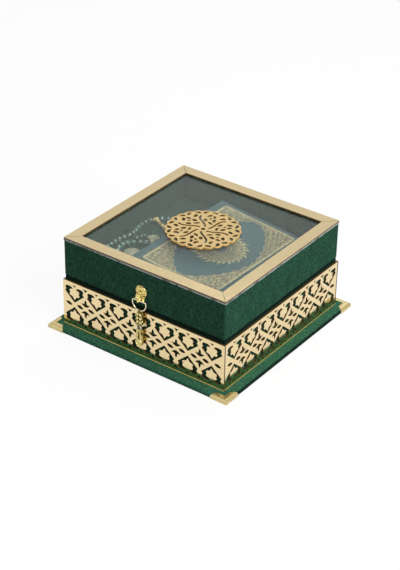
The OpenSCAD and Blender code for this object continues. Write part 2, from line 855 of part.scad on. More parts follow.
// Book: it leans on the beads under its spine, so it is drawn flat and tilted about its fore edge
book_x = platform_half - book_edge;
function under_book(p) = (book_x - p.x) * cos(book_turn) + (book_y - p.y) * sin(book_turn);

module book_place() {
    book_tilt = 2 * atan((bead_d + rest_gap) / 2 / min([for (p = knots) under_book(p)]));
    translate([book_x, book_y, z_floor + lay_gap]) rotate([0, 0, book_turn]) rotate([0, book_tilt, 0])
        translate([-book_w, -book_l / 2, 0]) children();
}

module book_cover(z) {
    color([0.30, 0.37, 0.44]) book_place() translate([cover_t, 0, z])
        cube([book_w - cover_t, book_l, cover_t]);
}

module book_back_cover() { book_cover(0); }
module book_front_cover() { book_cover(book_t - cover_t); }

module book_spine() {
    color([0.30, 0.37, 0.44]) book_place() cube([cover_t, book_l, book_t]);
}

module book_pages() {
    color([0.93, 0.90, 0.80]) book_place() translate([cover_t, cover_lip, cover_t])
        cube([book_w - cover_t - cover_lip, book_l - 2 * cover_lip, book_t - 2 * cover_t]);
}

// Prayer beads: hand-placed route of the loop on the raised floor, and of its short tail,
// measured from the middle of the floor's left edge
loop_route = [
    [101, 8], [99, -8], [83, -15], [59, -14], [37, -17], [28, -22], [20, -29], [16, -38],
    [18, -49], [22, -60], [21, -71], [13, -77], [6, -72], [4, -62], [5, -50], [4, -38],
    [6, -26], [9, -16], [8, -6], [5, 4], [4, 15], [6, 27], [13, 35], [25, 42],
    [47, 46], [73, 40], [93, 26]
];
tail_route = [[16.4, -16.6], [19.6, -12.6], [21.4, -7.8], [22.6, -2.8]];
function on_floor(route) = [for (p = route) p - [platform_half, 0]];
tail = on_floor(tail_route);
bead_z = z_floor + lay_gap + bead_d / 2;
tail_z = z_floor + lay_gap + tail_bead_d / 2;

// Points along a smooth closed curve through the route, then evenly spaced ones by length
function spline(p, t) = 0.5 * (2 * p[1] + (p[2] - p[0]) * t
    + (2 * p[0] - 5 * p[1] + 4 * p[2] - p[3]) * t * t
    + (3 * p[1] - p[0] - 3 * p[2] + p[3]) * t * t * t);
function closed_curve(r, steps) = let (n = len(r)) [for (i = [0 : n - 1], k = [0 : steps - 1])
    spline([r[(i + n - 1) % n], r[i], r[(i + 1) % n], r[(i + 2) % n]], k / steps)];
function run(p, i = 0, s = 0) =
    i == len(p) ? [s] : concat([s], run(p, i + 1, s + norm(p[(i + 1) % len(p)] - p[i])));
function at(p, s, d, i = 0) = s[i + 1] > d || i == len(p) - 1
    ? p[i] + (p[(i + 1) % len(p)] - p[i]) * (d - s[i]) / (s[i + 1] - s[i]) : at(p, s, d, i + 1);
function evenly(r, pitch) = let (p = closed_curve(r, 10), s = run(p), n = floor(s[len(p)] / pitch))
    [for (i = [0 : n - 1]) at(p, s, i * s[len(p)] / n)];

knots = evenly(on_floor(loop_route), bead_d + bead_gap);
knot_count = len(knots);
// Place of the gold collar, which takes the room of one bead
collar_at = [for (i = [0 : knot_count - 1]) if (knots[i].y > 28 && knots[i].x + platform_half < 23) i][0];

module along(a, b, z) {
    d = b - a;
    translate([(a.x + b.x) / 2, (a.y + b.y) / 2, z]) rotate([0, 90, atan2(d.y, d.x)]) children();
}

module bead(d) {
    difference() {
        sphere(d = d);
        cylinder(r = bead_bore_r, h = 2 * d, center = true);
    }
}

module prayer_beads() {
    color([0.20, 0.36, 0.29]) {
        for (i = [0 : knot_count - 1]) if (i != collar_at)
            along(knots[i], knots[(i + 1) % knot_count], bead_z) bead(bead_d);
        for (i = [0 : len(tail) - 2]) along(tail[i], tail[i + 1], tail_z) bead(tail_bead_d);
    }
}

// The collar's pierced stem lies beside the strand, at this heading
stem_turn = -26;

module prayer_bead_collar() {
    a = knots[collar_at];
    b = knots[collar_at + 1];
    color(gold) difference() {
        union() {
            along(a, b, bead_z) rotate_extrude() polygon([
                [0, -bead_d / 2], [bead_d * 0.3, -bead_d / 2], [bead_d * 0.42, -bead_d * 0.2],
                [bead_d * 0.3, 0], [bead_d * 0.42, bead_d * 0.2], [bead_d * 0.3, bead_d / 2], [0, bead_d / 2]
            ]);
            translate([(a.x + b.x) / 2, (a.y + b.y) / 2, bead_z]) rotate(stem_turn) difference() {
                rotate([0, 90, 0]) cylinder(r = stem_r, h = stem_l);
                for (i = [1 : stem_holes])
                    translate([bead_d / 2 + (stem_l - bead_d / 2) * i / (stem_holes + 1), 0, 0])
                        cylinder(r = stem_hole_r, h = 3 * stem_r, center = true);
            }
        }
        along(a, b, bead_z) cylinder(r = bead_bore_r, h = 2 * bead_d, center = true);
    }
}

// A cord of eight sides through the given points, closed on itself or capped at both ends
module cord(p, z, closed) {
    n = len(p);
    sides = 8;
    function heading(i) = let (a = closed ? p[(i + n - 1) % n] : p[max(i - 1, 0)],
        b = closed ? p[(i + 1) % n] : p[min(i + 1, n - 1)]) (b - a) / norm(b - a);
    points = [for (i = [0 : n - 1], k = [0 : sides - 1]) let (h = heading(i), a = 360 * k / sides)
        [p[i].x - h.y * cord_r * cos(a), p[i].y + h.x * cord_r * cos(a), z + cord_r * sin(a)]];
    rings = closed ? n : n - 1;
    walls = [for (i = [0 : rings - 1], k = [0 : sides - 1]) let (a = i * sides, b = (i + 1) % n * sides,
        j = (k + 1) % sides) each [[a + k, b + k, b + j], [a + k, b + j, a + j]]];
    caps = closed ? [] : [
        [for (k = [0 : sides - 1]) k], [for (k = [sides - 1 : -1 : 0]) (n - 1) * sides + k]
    ];
    polyhedron(points, concat(walls, caps));
}

module prayer_bead_cord() {
    color([0.12, 0.24, 0.19]) {
        cord(knots, bead_z, true);
        cord(tail, tail_z, false);
    }
}

// Two tassels: place of the cap from the floor's left edge, heading, half spread and length
tassels = [[[35.5, -9], 114, 46, short_tassel_l], [[40, -51.8], 126, 38, long_tassel_l]];
// Ends of the threads, which draw in towards the sides of the fan
function fan(l, spread) = [for (i = [-4 : 4])
    l * (1 - tassel_draw * i * i / 16) * [cos(spread * i / 4), sin(spread * i / 4)]];

module tassel_place(t) {
    translate([t[0].x - platform_half, t[0].y, z_floor + lay_gap]) rotate(t[1]) children();
}

module tassel_caps() {
    color(gold) for (t = tassels) tassel_place(t) translate([-tassel_cap_l, 0, tassel_cap_r])
        rotate([0, 90, 0]) cylinder(r = tassel_cap_r, h = tassel_cap_l);
}

module tassel_threads() {
    color([0.82, 0.80, 0.66]) for (t = tassels) tassel_place(t) translate([lay_gap, 0, 0])
        linear_extrude(tassel_t) polygon(concat([[0, tassel_cap_r], [0, -tassel_cap_r]], fan(t[3], t[2])));
}

base_felt();
base_board();
base_velvet();
corner_front_left();
corner_front_right();
corner_back_left();
corner_back_right();
tray_wall_front();
tray_wall_back();
tray_wall_left();
tray_wall_right();
tray_velvet();
lattice_front();
lattice_back();
lattice_left();
lattice_right();
lattice_foot();
platform_rails();
platform_board();
platform_velvet();
lid_wall_front();
lid_wall_back();
lid_wall_left();
lid_wall_right();
lid_velvet();
lid_pane();
frame_front();
frame_back();
frame_left();
frame_right();
medallion();
hinge_leaf_lower_left();
hinge_leaf_lower_right();
hinge_leaf_upper_left();
hinge_leaf_upper_right();
hinge_pins();
hinge_screws_lower();
hinge_screws_upper();
pull_rosette();
pull_screw();
pull_washer();
pull_ring();
charm_cap();
charm_crystal();
charm_drop();
book_back_cover();
book_pages();
book_spine();
book_front_cover();
prayer_beads();
prayer_bead_cord();
prayer_bead_collar();
tassel_caps();
tassel_threads();
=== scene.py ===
"""Looks of the velvet quran box round its CAD frame: covers, panels, clear top, pull, book and beads."""

import bisect
import random
from math import copysign, cos, exp, pi, radians, sin, sqrt, tau

import bmesh
import bpy
from mathutils import Matrix, Vector, geometry, noise


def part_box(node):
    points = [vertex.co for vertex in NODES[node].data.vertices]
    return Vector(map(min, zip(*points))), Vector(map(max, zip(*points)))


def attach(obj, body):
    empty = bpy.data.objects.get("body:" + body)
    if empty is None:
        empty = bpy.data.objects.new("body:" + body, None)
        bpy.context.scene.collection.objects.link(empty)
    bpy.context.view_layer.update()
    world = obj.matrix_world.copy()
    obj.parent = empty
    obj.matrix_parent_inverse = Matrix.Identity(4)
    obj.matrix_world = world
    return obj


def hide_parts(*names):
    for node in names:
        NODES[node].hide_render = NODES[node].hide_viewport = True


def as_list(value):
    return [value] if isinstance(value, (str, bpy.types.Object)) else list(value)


bl_info = {
    "name": "Quran box",
    "version": (1, 1, 0),
    "blender": (4, 5, 0),
    "location": "3D View > Sidebar > Quran box",
    "description": "Dresses the velvet quran box and sets its stage",
    "category": "Object",
}

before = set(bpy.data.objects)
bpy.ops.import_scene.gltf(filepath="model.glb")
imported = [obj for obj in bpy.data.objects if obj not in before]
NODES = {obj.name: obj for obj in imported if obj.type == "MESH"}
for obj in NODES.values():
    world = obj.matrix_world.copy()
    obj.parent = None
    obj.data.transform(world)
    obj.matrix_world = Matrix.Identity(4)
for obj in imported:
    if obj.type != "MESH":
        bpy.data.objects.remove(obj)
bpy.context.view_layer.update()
MM = 0.001
UP = Vector((0, 0, 1))
SIDES = {
    "front": Vector((0, -1, 0)), "back": Vector((0, 1, 0)),
    "left": Vector((-1, 0, 0)), "right": Vector((1, 0, 0)),
}
QUARTERS = ((1, 1), (-1, 1), (-1, -1), (1, -1))
LEAVES = ["hinge_leaf_%s_%s" % (leaf, side) for side in ("left", "right") for leaf in ("lower", "upper")]
# Cosine above which a face looks a given way
FACING = 0.7
# The same for velvet faces that look right, which take painted shade
RIGHTWARD = 0.4
# A wall with the velvet on both its faces
WALL = 8.2 * MM
# Half width of a capped cover's last ring
MIDDLE = 2 * MM
# The velvet's waves: their number per metre and their share
WAVES = ((38, 0.6), (130, 0.4))


def srgb(red, green, blue):
    """A colour given as 0-255 screen values, in the linear values that shaders take."""
    return tuple(
        v / 12.92 if v <= 0.04045 else ((v + 0.055) / 1.055) ** 2.4
        for v in (c / 255 for c in (red, green, blue))
    )


def shade(tint, factor):
    """A colour made darker or lighter."""
    return tuple(min(1.0, c * factor) for c in tint)


# Settings


def colour(name, description, *screen):
    return bpy.props.FloatVectorProperty(
        name=name, description=description, default=srgb(*screen), subtype="COLOR", size=3, min=0, max=1
    )


def length(name, description, default):
    return bpy.props.FloatProperty(
        name=name, description=description, default=default, min=0, unit="LENGTH", precision=5
    )


def angle(name, description, degrees):
    return bpy.props.FloatProperty(
        name=name, description=description, default=radians(degrees), subtype="ANGLE"
    )


class QuranBoxFinish(bpy.types.PropertyGroup):
    """Colours of the box and what lies in it."""

    velvet: colour("Velvet", "Pile of the velvet covers", 46, 91, 70)
    gold: colour("Gold sheet", "Mirror face of the lattice and frame", 238, 216, 168)
    dull_gold: colour("Foot line", "Dull gold of the line at the lattice's foot", 214, 206, 150)
    deep_gold: colour("Medallion gold", "Mirror face of the medallion", 246, 214, 150)
    medallion_edge: colour("Medallion edge", "Sawn edge of the medallion", 204, 156, 80)
    cut_edge: colour("Cut edge", "Sawn edge of the gold sheet", 92, 62, 32)
    brass: colour("Brass", "Corners and hinges", 212, 194, 138)
    cast_gold: colour("Cast gold", "Rosette and bead collar", 242, 220, 140)
    pale_gold: colour("Pale gold", "Wire of the ring", 240, 226, 186)
    charm_gold: colour("Charm gold", "Cap, drop and filigree of the charm", 242, 226, 156)
    board: colour("Board", "Bare boards under the velvet", 150, 120, 84)
    cover: colour("Book cover", "Cloth of the book", 42, 67, 69)
    gilt: colour("Gilding", "Ornament on the book", 163, 154, 114)
    paper: colour("Paper", "Edges of the book's pages", 230, 222, 200)
    bead: colour("Beads", "Pearl lustre of the beads", 62, 100, 84)
    thread: colour("Tassel thread", "Silk of the tassels", 154, 153, 124)


class QuranBoxSizes(bpy.types.PropertyGroup):
    """Sizes of what the scene adds to the frame."""

    cloth: length("Velvet", "Thickness of the velvet", 0.6 * MM)
    slack: length("Slack", "How far the stretched velvet lies off the board at most", 0.22 * MM)
    gilt_width: length("Gilt border width", "Width of the gilt border of the book", 98.3 * MM)
    gilt_length: length("Gilt border length", "Length of the gilt border of the book", 152.3 * MM)
    field_width: length("Field half width", "Half the width of the blue field", 45.2 * MM)
    field_length: length("Field half length", "Half the length of the blue field", 71.5 * MM)
    sun: length("Sun", "Reach of the sun's flames on the book", 35.0 * MM)
    strands: bpy.props.IntProperty(name="Strands", description="Threads in each tassel", default=110, min=20)


class QuranBoxStage(bpy.types.PropertyGroup):
    """The camera's place and lens."""

    azimuth: angle("Azimuth", "Camera's turn round the box from the front", 35.88)
    elevation: angle("Elevation", "Camera's height above the horizon", 31.55)
    roll: angle("Roll", "Camera's lean", 1.08)
    distance: length("Distance", "Camera to the point that it looks at", 1.8409)
    target: bpy.props.FloatVectorProperty(
        name="Target", description="Point that the camera looks at",
        default=(-0.0108, 0.01107, 0.03293), subtype="TRANSLATION", size=3,
    )
    focal: bpy.props.FloatProperty(
        name="Focal length", description="Camera lens in millimetres on a 36 mm frame", default=101.05
    )


def settings():
    return bpy.context.scene.quran_box_finish


def sizes():
    return bpy.context.scene.quran_box_sizes


# Materials


class Graph:
    """Nodes of a material or a world, added and linked a line at a time."""

    def __init__(self, name, kind="materials"):
        self.owner = getattr(bpy.data, kind).new(name)
        self.owner.use_nodes = True
        self.tree = self.owner.node_tree
        self.tree.nodes.clear()

    def add(self, kind, inputs=None, **settings):
        """A node with its settings; each input takes a socket, a colour or a number."""
        node = self.tree.nodes.new("ShaderNode" + kind)
        for key, value in settings.items():
            setattr(node, key, value)
        for key, value in (inputs or {}).items():
            socket = node.inputs[key]
            if isinstance(value, bpy.types.NodeSocket):
                self.tree.links.new(value, socket)
            else:
                socket.default_value = (*value, 1) if socket.type == "RGBA" else value
        return node

    def noise(self, scale, detail=2.0, roughness=0.6, stretch=None):
        spot = self.add("TexCoord").outputs["Object"]
        if stretch:
            spot = self.add("Mapping", {"Vector": spot, "Scale": stretch}).outputs[0]
        return self.add("TexNoise", {
            "Vector": spot, "Scale": scale, "Detail": detail, "Roughness": roughness
        }).outputs["Fac"]

    def ramp(self, value, low, high, to_low=0.0, to_high=1.0):
        return self.add("MapRange", {
            "Value": value, "From Min": low, "From Max": high, "To Min": to_low, "To Max": to_high
        }).outputs["Result"]

    def mix(self, share, first, second):
        return self.add("Mix", {0: share, 6: first, 7: second}, data_type="RGBA").outputs[2]

    def tones(self, value, low, high, tint, first, second):
        """From one shade of a tint to another, as the value rises from low to high."""
        return self.mix(self.ramp(value, low, high), shade(tint, first), shade(tint, second))

    def math(self, operation, first, second):
        return self.add("Math", {0: first, 1: second}, operation=operation).outputs[0]

    def seen(self, path, straight, mirrored):
        """A strength for rays from the camera, also through clear pieces, and one for mirrored rays."""
        direct = self.math("MAXIMUM", path["Is Camera Ray"], path["Is Transmission Ray"])
        return self.math(
            "MAXIMUM", self.math("MULTIPLY", direct, straight),
            self.math("MULTIPLY", path["Is Glossy Ray"], mirrored),
        )

    def finish(self, shader, output="OutputMaterial"):
        self.add(output, {"Surface": shader.outputs[0]})
        return self.owner

    def blend(self, share, first, second):
        return self.finish(self.add("MixShader", {0: share, 1: first.outputs[0], 2: second.outputs[0]}))

    def principled(self, face, rough, dent=None, others=None):
        """Ends the material in a face colour, a roughness and a dent of (value, strength, depth)."""
        inputs = {"Base Color": face, "Roughness": rough, **(others or {})}
        if dent:
            bump = self.add("Bump", dict(zip(("Height", "Strength", "Distance"), dent)))
            inputs["Normal"] = bump.outputs["Normal"]
        return self.finish(self.add("BsdfPrincipled", inputs))


def velvet_material(name, share=1.0):
    """Pile in worn patches, strokes of painted sheen and tufts that catch the light, at a share of its
    colour.
    """
    g, tint = Graph(name), shade(settings().velvet, share)
    strokes, tufts = g.noise(130, 2, 0.5, (1, 1, 0.4)), g.noise(430)
    worn = g.tones(g.noise(26, 3), 0.35, 0.68, tint, 0.82, 1.16)
    # Painted sheen: lighter strokes where the crushed pile would catch the light
    painted_sheen = g.mix(g.ramp(strokes, 0.42, 0.66, 0, 0.6), worn, shade(tint, 1.5))
    tufted = g.mix(g.ramp(tufts, 0.38, 0.6), shade(tint, 0.38), painted_sheen)
    pile = g.mix(g.ramp(g.noise(1200, 2, 0.7), 0.36, 0.58), shade(tint, 0.42), tufted)
    return g.principled(pile, 0.92, (tufts, 0.8, 0.0014), {
        "Specular IOR Level": 0.1, "Sheen Weight": 0.3, "Sheen Roughness": 0.4, "Sheen Tint": shade(tint, 4),
    })


def gold_sheet_material(name, tint, streak=None):
    """Mirror sheet: faint waves, and a haze of fine scratches that streak draws out."""
    g = Graph(name)
    haze = g.noise(260, 3, 0.6, streak)
    face, rough = g.tones(haze, 0.35, 0.68, tint, 1, 0.93), g.ramp(haze, 0.3, 0.8, 0.08, 0.17)
    return g.principled(face, rough, (g.noise(14, 2, 0.5), 0.05, 0.004), {"Metallic": 1.0})


def cut_edge_material(name, tint):
    """Sawn edge, finely mottled."""
    g = Graph(name)
    saw = g.noise(500)
    face, rough = g.tones(saw, 0.3, 0.7, tint, 0.75, 1.25), g.ramp(saw, 0.3, 0.7, 0.18, 0.35)
    return g.principled(face, rough, (saw, 0.2, 0.0002))


def metal_material(name, tint, rough, worn=0.8, patina=0.9):
    """Polished metal, a little worn, with a darker patina in small spots."""
    g = Graph(name)
    wear = g.noise(90, 3)
    face = g.tones(wear, 0.35, 0.7, tint, 1, worn)
    face = g.mix(g.ramp(g.noise(480), 0.54, 0.64), face, shade(tint, patina))
    polish = g.ramp(wear, 0.3, 0.75, rough * 0.8, rough * 1.3)
    return g.principled(face, polish, (g.noise(700), 0.15, 0.0002), {"Metallic": 1.0})


def board_material(name, tint):
    """Pressed board with chips in it."""
    g = Graph(name)
    chips = g.noise(420, 3, 0.7)
    return g.principled(g.tones(chips, 0.3, 0.7, tint, 0.75, 1.15), 0.8, (chips, 0.3, 0.0004))


def clear_material(name, tint, ior):
    """Clear stuff with a breath of dust, which lets shadow rays through."""
    g = Graph(name)
    glass = g.add("BsdfPrincipled", {
        "Base Color": tint, "Roughness": g.ramp(g.noise(60, 4), 0.45, 0.8, 0.0, 0.03),
        "IOR": ior, "Transmission Weight": 1.0,
    })
    open_air = g.add("BsdfTransparent", {"Color": tint})
    return g.blend(g.add("LightPath").outputs["Is Shadow Ray"], glass, open_air)


def frosted_material(name, tint):
    """Sawn edge of the clear sheet, dark where it lets the light through."""
    g = Graph(name)
    saw = g.noise(700)
    face = g.tones(saw, 0.3, 0.7, tint, 0.8, 1.1)
    face = g.mix(g.ramp(g.noise(70, 2, 0.5), 0.5, 0.6, 0, 0.85), face, shade(tint, 0.1))
    return g.principled(face, g.ramp(saw, 0.3, 0.7, 0.35, 0.55), (saw, 0.2, 0.0002))


def cloth_material(name, tint, scale, rough=0.62, gloss=0.5):
    """Woven cloth, felt or silk, with soft patches."""
    g = Graph(name)
    weave = g.noise(scale)
    face = g.tones(weave, 0.3, 0.7, tint, 0.82, 1.12)
    face = g.mix(g.ramp(g.noise(40, 2, 0.5), 0.35, 0.7, 0, 0.3), face, shade(tint, 0.85))
    return g.principled(face, rough, (weave, 0.25, 0.0003), {"Specular IOR Level": gloss})


def gilt_material(name, tint, metal=0.35, spots=400, spot=0.14):
    """Stamped gilding, thin and a little rubbed, with small spots that are darker or brighter."""
    g = Graph(name)
    rub = g.noise(1100, 3, 0.7)
    face = g.tones(rub, 0.35, 0.65, tint, 0.7, 1.15)
    face = g.mix(g.ramp(g.noise(spots), 0.48, 0.56, 0, 0.9), face, shade(tint, spot))
    rough = g.ramp(rub, 0.3, 0.7, 0.45, 0.65)
    return g.principled(face, rough, (rub, 0.2, 0.0002), {"Metallic": metal, "Specular IOR Level": 0.25})


def page_material(name, tint):
    """Edges of many leaves, one over the other."""
    g = Graph(name)
    leaves = g.noise(3, stretch=(6.0, 6.0, 1400.0))
    return g.principled(g.tones(leaves, 0.3, 0.7, tint, 0.7, 1), 0.85, (leaves, 0.4, 0.0003))


def pearl_material(name, tint):
    """Pearl lustre with a slow swirl under a clear coat."""
    g = Graph(name)
    swirl = g.noise(160, 3)
    face, rough = g.tones(swirl, 0.3, 0.7, tint, 0.75, 1.2), g.ramp(swirl, 0.3, 0.7, 0.12, 0.22)
    return g.principled(face, rough, others={
        "Metallic": 0.3, "Coat Weight": 1.0, "Coat Roughness": 0.04, "Sheen Weight": 0.2,
    })


# Shapes


def turns(count):
    """Angles evenly round a circle."""
    return [tau * k / count for k in range(count)]


def polar(radius, turn):
    """The (x, y) of a point from its radius and angle."""
    return radius * cos(turn), radius * sin(turn)


def curl(start, sweep, wide, drop, steps):
    """Points (x, y) of a spiral that begins wide, in millimetres, and draws in by drop."""
    return [polar((wide - drop * k / steps) * MM, start + sweep * k / steps) for k in range(steps + 1)]


def oblong(half, low, high):
    """Section of a flat band."""
    return [(-half, low), (half, low), (half, high), (-half, high)]


def fan(tip, first, sides):
    """Triangles from a tip to a ring of points."""
    return [(tip, first + k, first + (k + 1) % sides) for k in range(sides)]


def bands(rows, sides, first=0, closed=False):
    """Quads between rings of points; closed joins the last ring to the first."""
    faces = []
    for i in range(rows if closed else rows - 1):
        a, b = first + i * sides, first + (i + 1) % rows * sides
        faces += [(a + k, a + (k + 1) % sides, b + (k + 1) % sides, b + k) for k in range(sides)]
    return faces


def headings(line, closed):
    """The way along a line at each of its points."""
    ways, count = [], len(line)
    for i in range(count):
        before, after = (i - 1, (i + 1) % count) if closed else (max(i - 1, 0), min(i + 1, count - 1))
        ways.append((line[after] - line[before]).normalized())
    return ways


def added(name, data):
    """An object in the scene."""
    item = bpy.data.objects.new(name, data)
    bpy.context.scene.collection.objects.link(item)
    return item


class Form:
    """Points and faces of a piece, gathered from its shapes."""

    def __init__(self):
        self.points, self.faces = [], []

    def join(self, points, faces):
        first = len(self.points)
        self.points += [Vector(p) for p in points]
        self.faces += [tuple(first + i for i in face) for face in faces]

    def sweep(self, line, section, up=None, closed=False, size=None):
        """A section of (across, up) points carried along a line; size scales it from 0 to 1 along it."""
        line = [Vector(p) for p in line]
        count, sides, across = len(line), len(section), None
        points = []
        for i, (spot, heading) in enumerate(zip(line, headings(line, closed))):
            if up is not None:
                across = heading.cross(up)
            elif across is None:
                across = heading.orthogonal()
            across = (across - heading * across.dot(heading)).normalized()
            lift = across.cross(heading)
            grow = size(i / (count - 1)) if size else 1.0
            points += [spot + (across * a + lift * b) * grow for a, b in section]
        faces = bands(count, sides, closed=closed)
        if not closed:
            last = (count - 1) * sides
            faces += [tuple(reversed(range(sides))), tuple(range(last, last + sides))]
        self.join(points, faces)

    def wire(self, line, radius, sides=8, **options):
        self.sweep(line, [polar(radius, t) for t in turns(sides)], **options)

    def ball(self, centre, radius, sides=10, rings=6):
        centre, pole = Vector(centre), Vector((0, 0, radius))
        points = [centre + pole]
        for tilt in (pi * i / rings for i in range(1, rings)):
            points += [centre + radius * Vector((*polar(sin(tilt), t), cos(tilt))) for t in turns(sides)]
        points.append(centre - pole)
        last = len(points) - 1
        self.join(points, fan(0, 1, sides) + bands(rings - 1, sides, 1) + fan(last, last - sides, sides))

    def made(self, name, material, body, slot, crease, *replaced):
        """The piece, on its body; the slot is not used."""
        mesh = bpy.data.meshes.new(name)
        mesh.from_pydata(self.points, [], self.faces)
        form = bmesh.new()
        form.from_mesh(mesh)
        bmesh.ops.recalc_face_normals(form, faces=form.faces)
        form.to_mesh(mesh)
        form.free()
        mesh.shade_smooth()
        mesh.set_sharp_from_angle(angle=radians(crease))
        mesh.materials.append(material)
        piece = added(name, mesh)
        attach(piece, body)
        if replaced:
            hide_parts(*replaced)
        return piece


def dress(material, *names):
    """One material on whole CAD pieces."""
    for name in names:
        NODES[name].data.materials.clear()
        NODES[name].data.materials.append(material)


def split(mesh, main, other, where):
    """Two materials: the faces that where picks take the other one."""
    mesh.materials.clear()
    mesh.materials.append(main)
    mesh.materials.append(other)
    for face in mesh.polygons:
        face.material_index = 1 if where(face) else 0


def dress_sheet(name, front, edge, outward):
    """Mirror face on the side that looks outward, cut edge elsewhere."""
    split(NODES[name].data, front, edge, lambda face: face.normal.dot(outward) <= FACING)


def soften(width, *names):
    """A small round on the edges of rigid CAD pieces."""
    for name in names:
        bevel = NODES[name].modifiers.new("edge_round", "BEVEL")
        bevel.width, bevel.segments, bevel.limit_method = width, 2, "ANGLE"
        bevel.angle_limit = radians(35)


# Velvet covers


def square_ring(half, corner, z, steps=44, bends=5):
    """Points round a square with rounded corners."""
    points, flat = [], half - corner

    def spot(quarter, turn):
        sx, sy = QUARTERS[quarter % 4]
        return Vector((sx * flat, sy * flat, z)) + corner * Vector((*polar(1, turn), 0))

    for quarter in range(4):
        turn = pi / 2 * quarter
        arc = [spot(quarter, turn + pi / 2 * k / bends) for k in range(bends + 1)]
        start = spot(quarter + 1, turn + pi / 2)
        points += arc + [arc[-1].lerp(start, k / steps) for k in range(1, steps)]
    return points


def rounded(first, bend, last, radius, steps=4):
    """Points of a profile's corner, rounded by radius where it turns at bend."""
    bend = Vector(bend)
    start, end = (bend + (Vector(p) - bend).normalized() * radius for p in (first, last))
    shares = [k / steps for k in range(steps + 1)]
    return [start * (1 - t) ** 2 + bend * 2 * t * (1 - t) + end * t * t for t in shares]


def spaced(points, step):
    """The profile with no stretch much longer than step."""
    out = []
    for a, b in zip(points, points[1:]):
        count = max(1, round((b - a).length / step))
        out += [a.lerp(b, k / count) for k in range(count)]
    return out + [points[-1]]


def cover(name, node, body, profile, corner, material, flat, area, rests_on, capped=False, cuts=()):
    """Velvet stretched over boards: a profile of (half width, height) carried round the square."""
    form = Form()
    reach = max(p.x for p in profile)
    rings = [square_ring(p.x, max(0.3 * MM, corner - (reach - p.x)), p.y) for p in profile]
    count = len(rings[0])
    faces = bands(len(rings), count, closed=not capped)
    if capped:
        last = (len(rings) - 1) * count
        faces.append(tuple(range(last, last + count)))
    form.join([p for ring in rings for p in ring], faces)
    piece = form.made(name, material, body, "green_velvet", 60, node)
    rest_on_boards(piece.data)
    stretch = piece.modifiers.new("thickness", "SOLIDIFY")
    stretch.thickness, stretch.offset = sizes().cloth, -1
    cut(piece, cuts)
    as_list(rests_on)
    return piece.data


def rest_on_boards(mesh):
    """Shallow waves where the cloth lies a little off the board, and the fine unevenness of its pile."""
    normals = [v.normal.copy() for v in mesh.vertices]
    for vertex, normal in zip(mesh.vertices, normals):
        spot = vertex.co
        wave = sum(noise.noise(spot * pitch) * share for pitch, share in WAVES)
        vertex.co = spot + normal * sizes().slack * (wave * 0.5 - 0.5)


def cut(piece, boxes):
    """Cuts square openings through a cover, and keeps the result as the piece's mesh."""
    cutters = []
    for low, high in boxes:
        mesh = bpy.data.meshes.new("cutter")
        form = bmesh.new()
        bmesh.ops.create_cube(form, size=1)
        form.to_mesh(mesh)
        form.free()
        mesh.transform(Matrix.Translation((low + high) / 2) @ Matrix.Diagonal((*(high - low), 1)))
        cutter = added("cutter", mesh)
        opening = piece.modifiers.new("opening", "BOOLEAN")
        opening.object, opening.operation, opening.solver = cutter, "DIFFERENCE", "MANIFOLD"
        cutters.append(cutter)
    ready = bpy.data.meshes.new_from_object(piece.evaluated_get(bpy.context.evaluated_depsgraph_get()))
    piece.modifiers.clear()
    piece.data = ready
    for cutter in cutters:
        bpy.data.objects.remove(cutter)


# Operators


class QURANBOX_OT_boards(bpy.types.Operator):
    """Bare boards and felt under the covers"""

    bl_idname = "quranbox.boards"
    bl_label = "Boards and felt"

    def execute(self, context):
        walls = ["%s_wall_%s" % (part, side) for part in ("tray", "lid") for side in SIDES]
        boards = board_material("bare_board", settings().board)
        dress(boards, *walls, "base_board", "platform_rails", "platform_board")
        dress(cloth_material("dark_felt", srgb(44, 50, 46), 600), "base_felt")
        return {"FINISHED"}


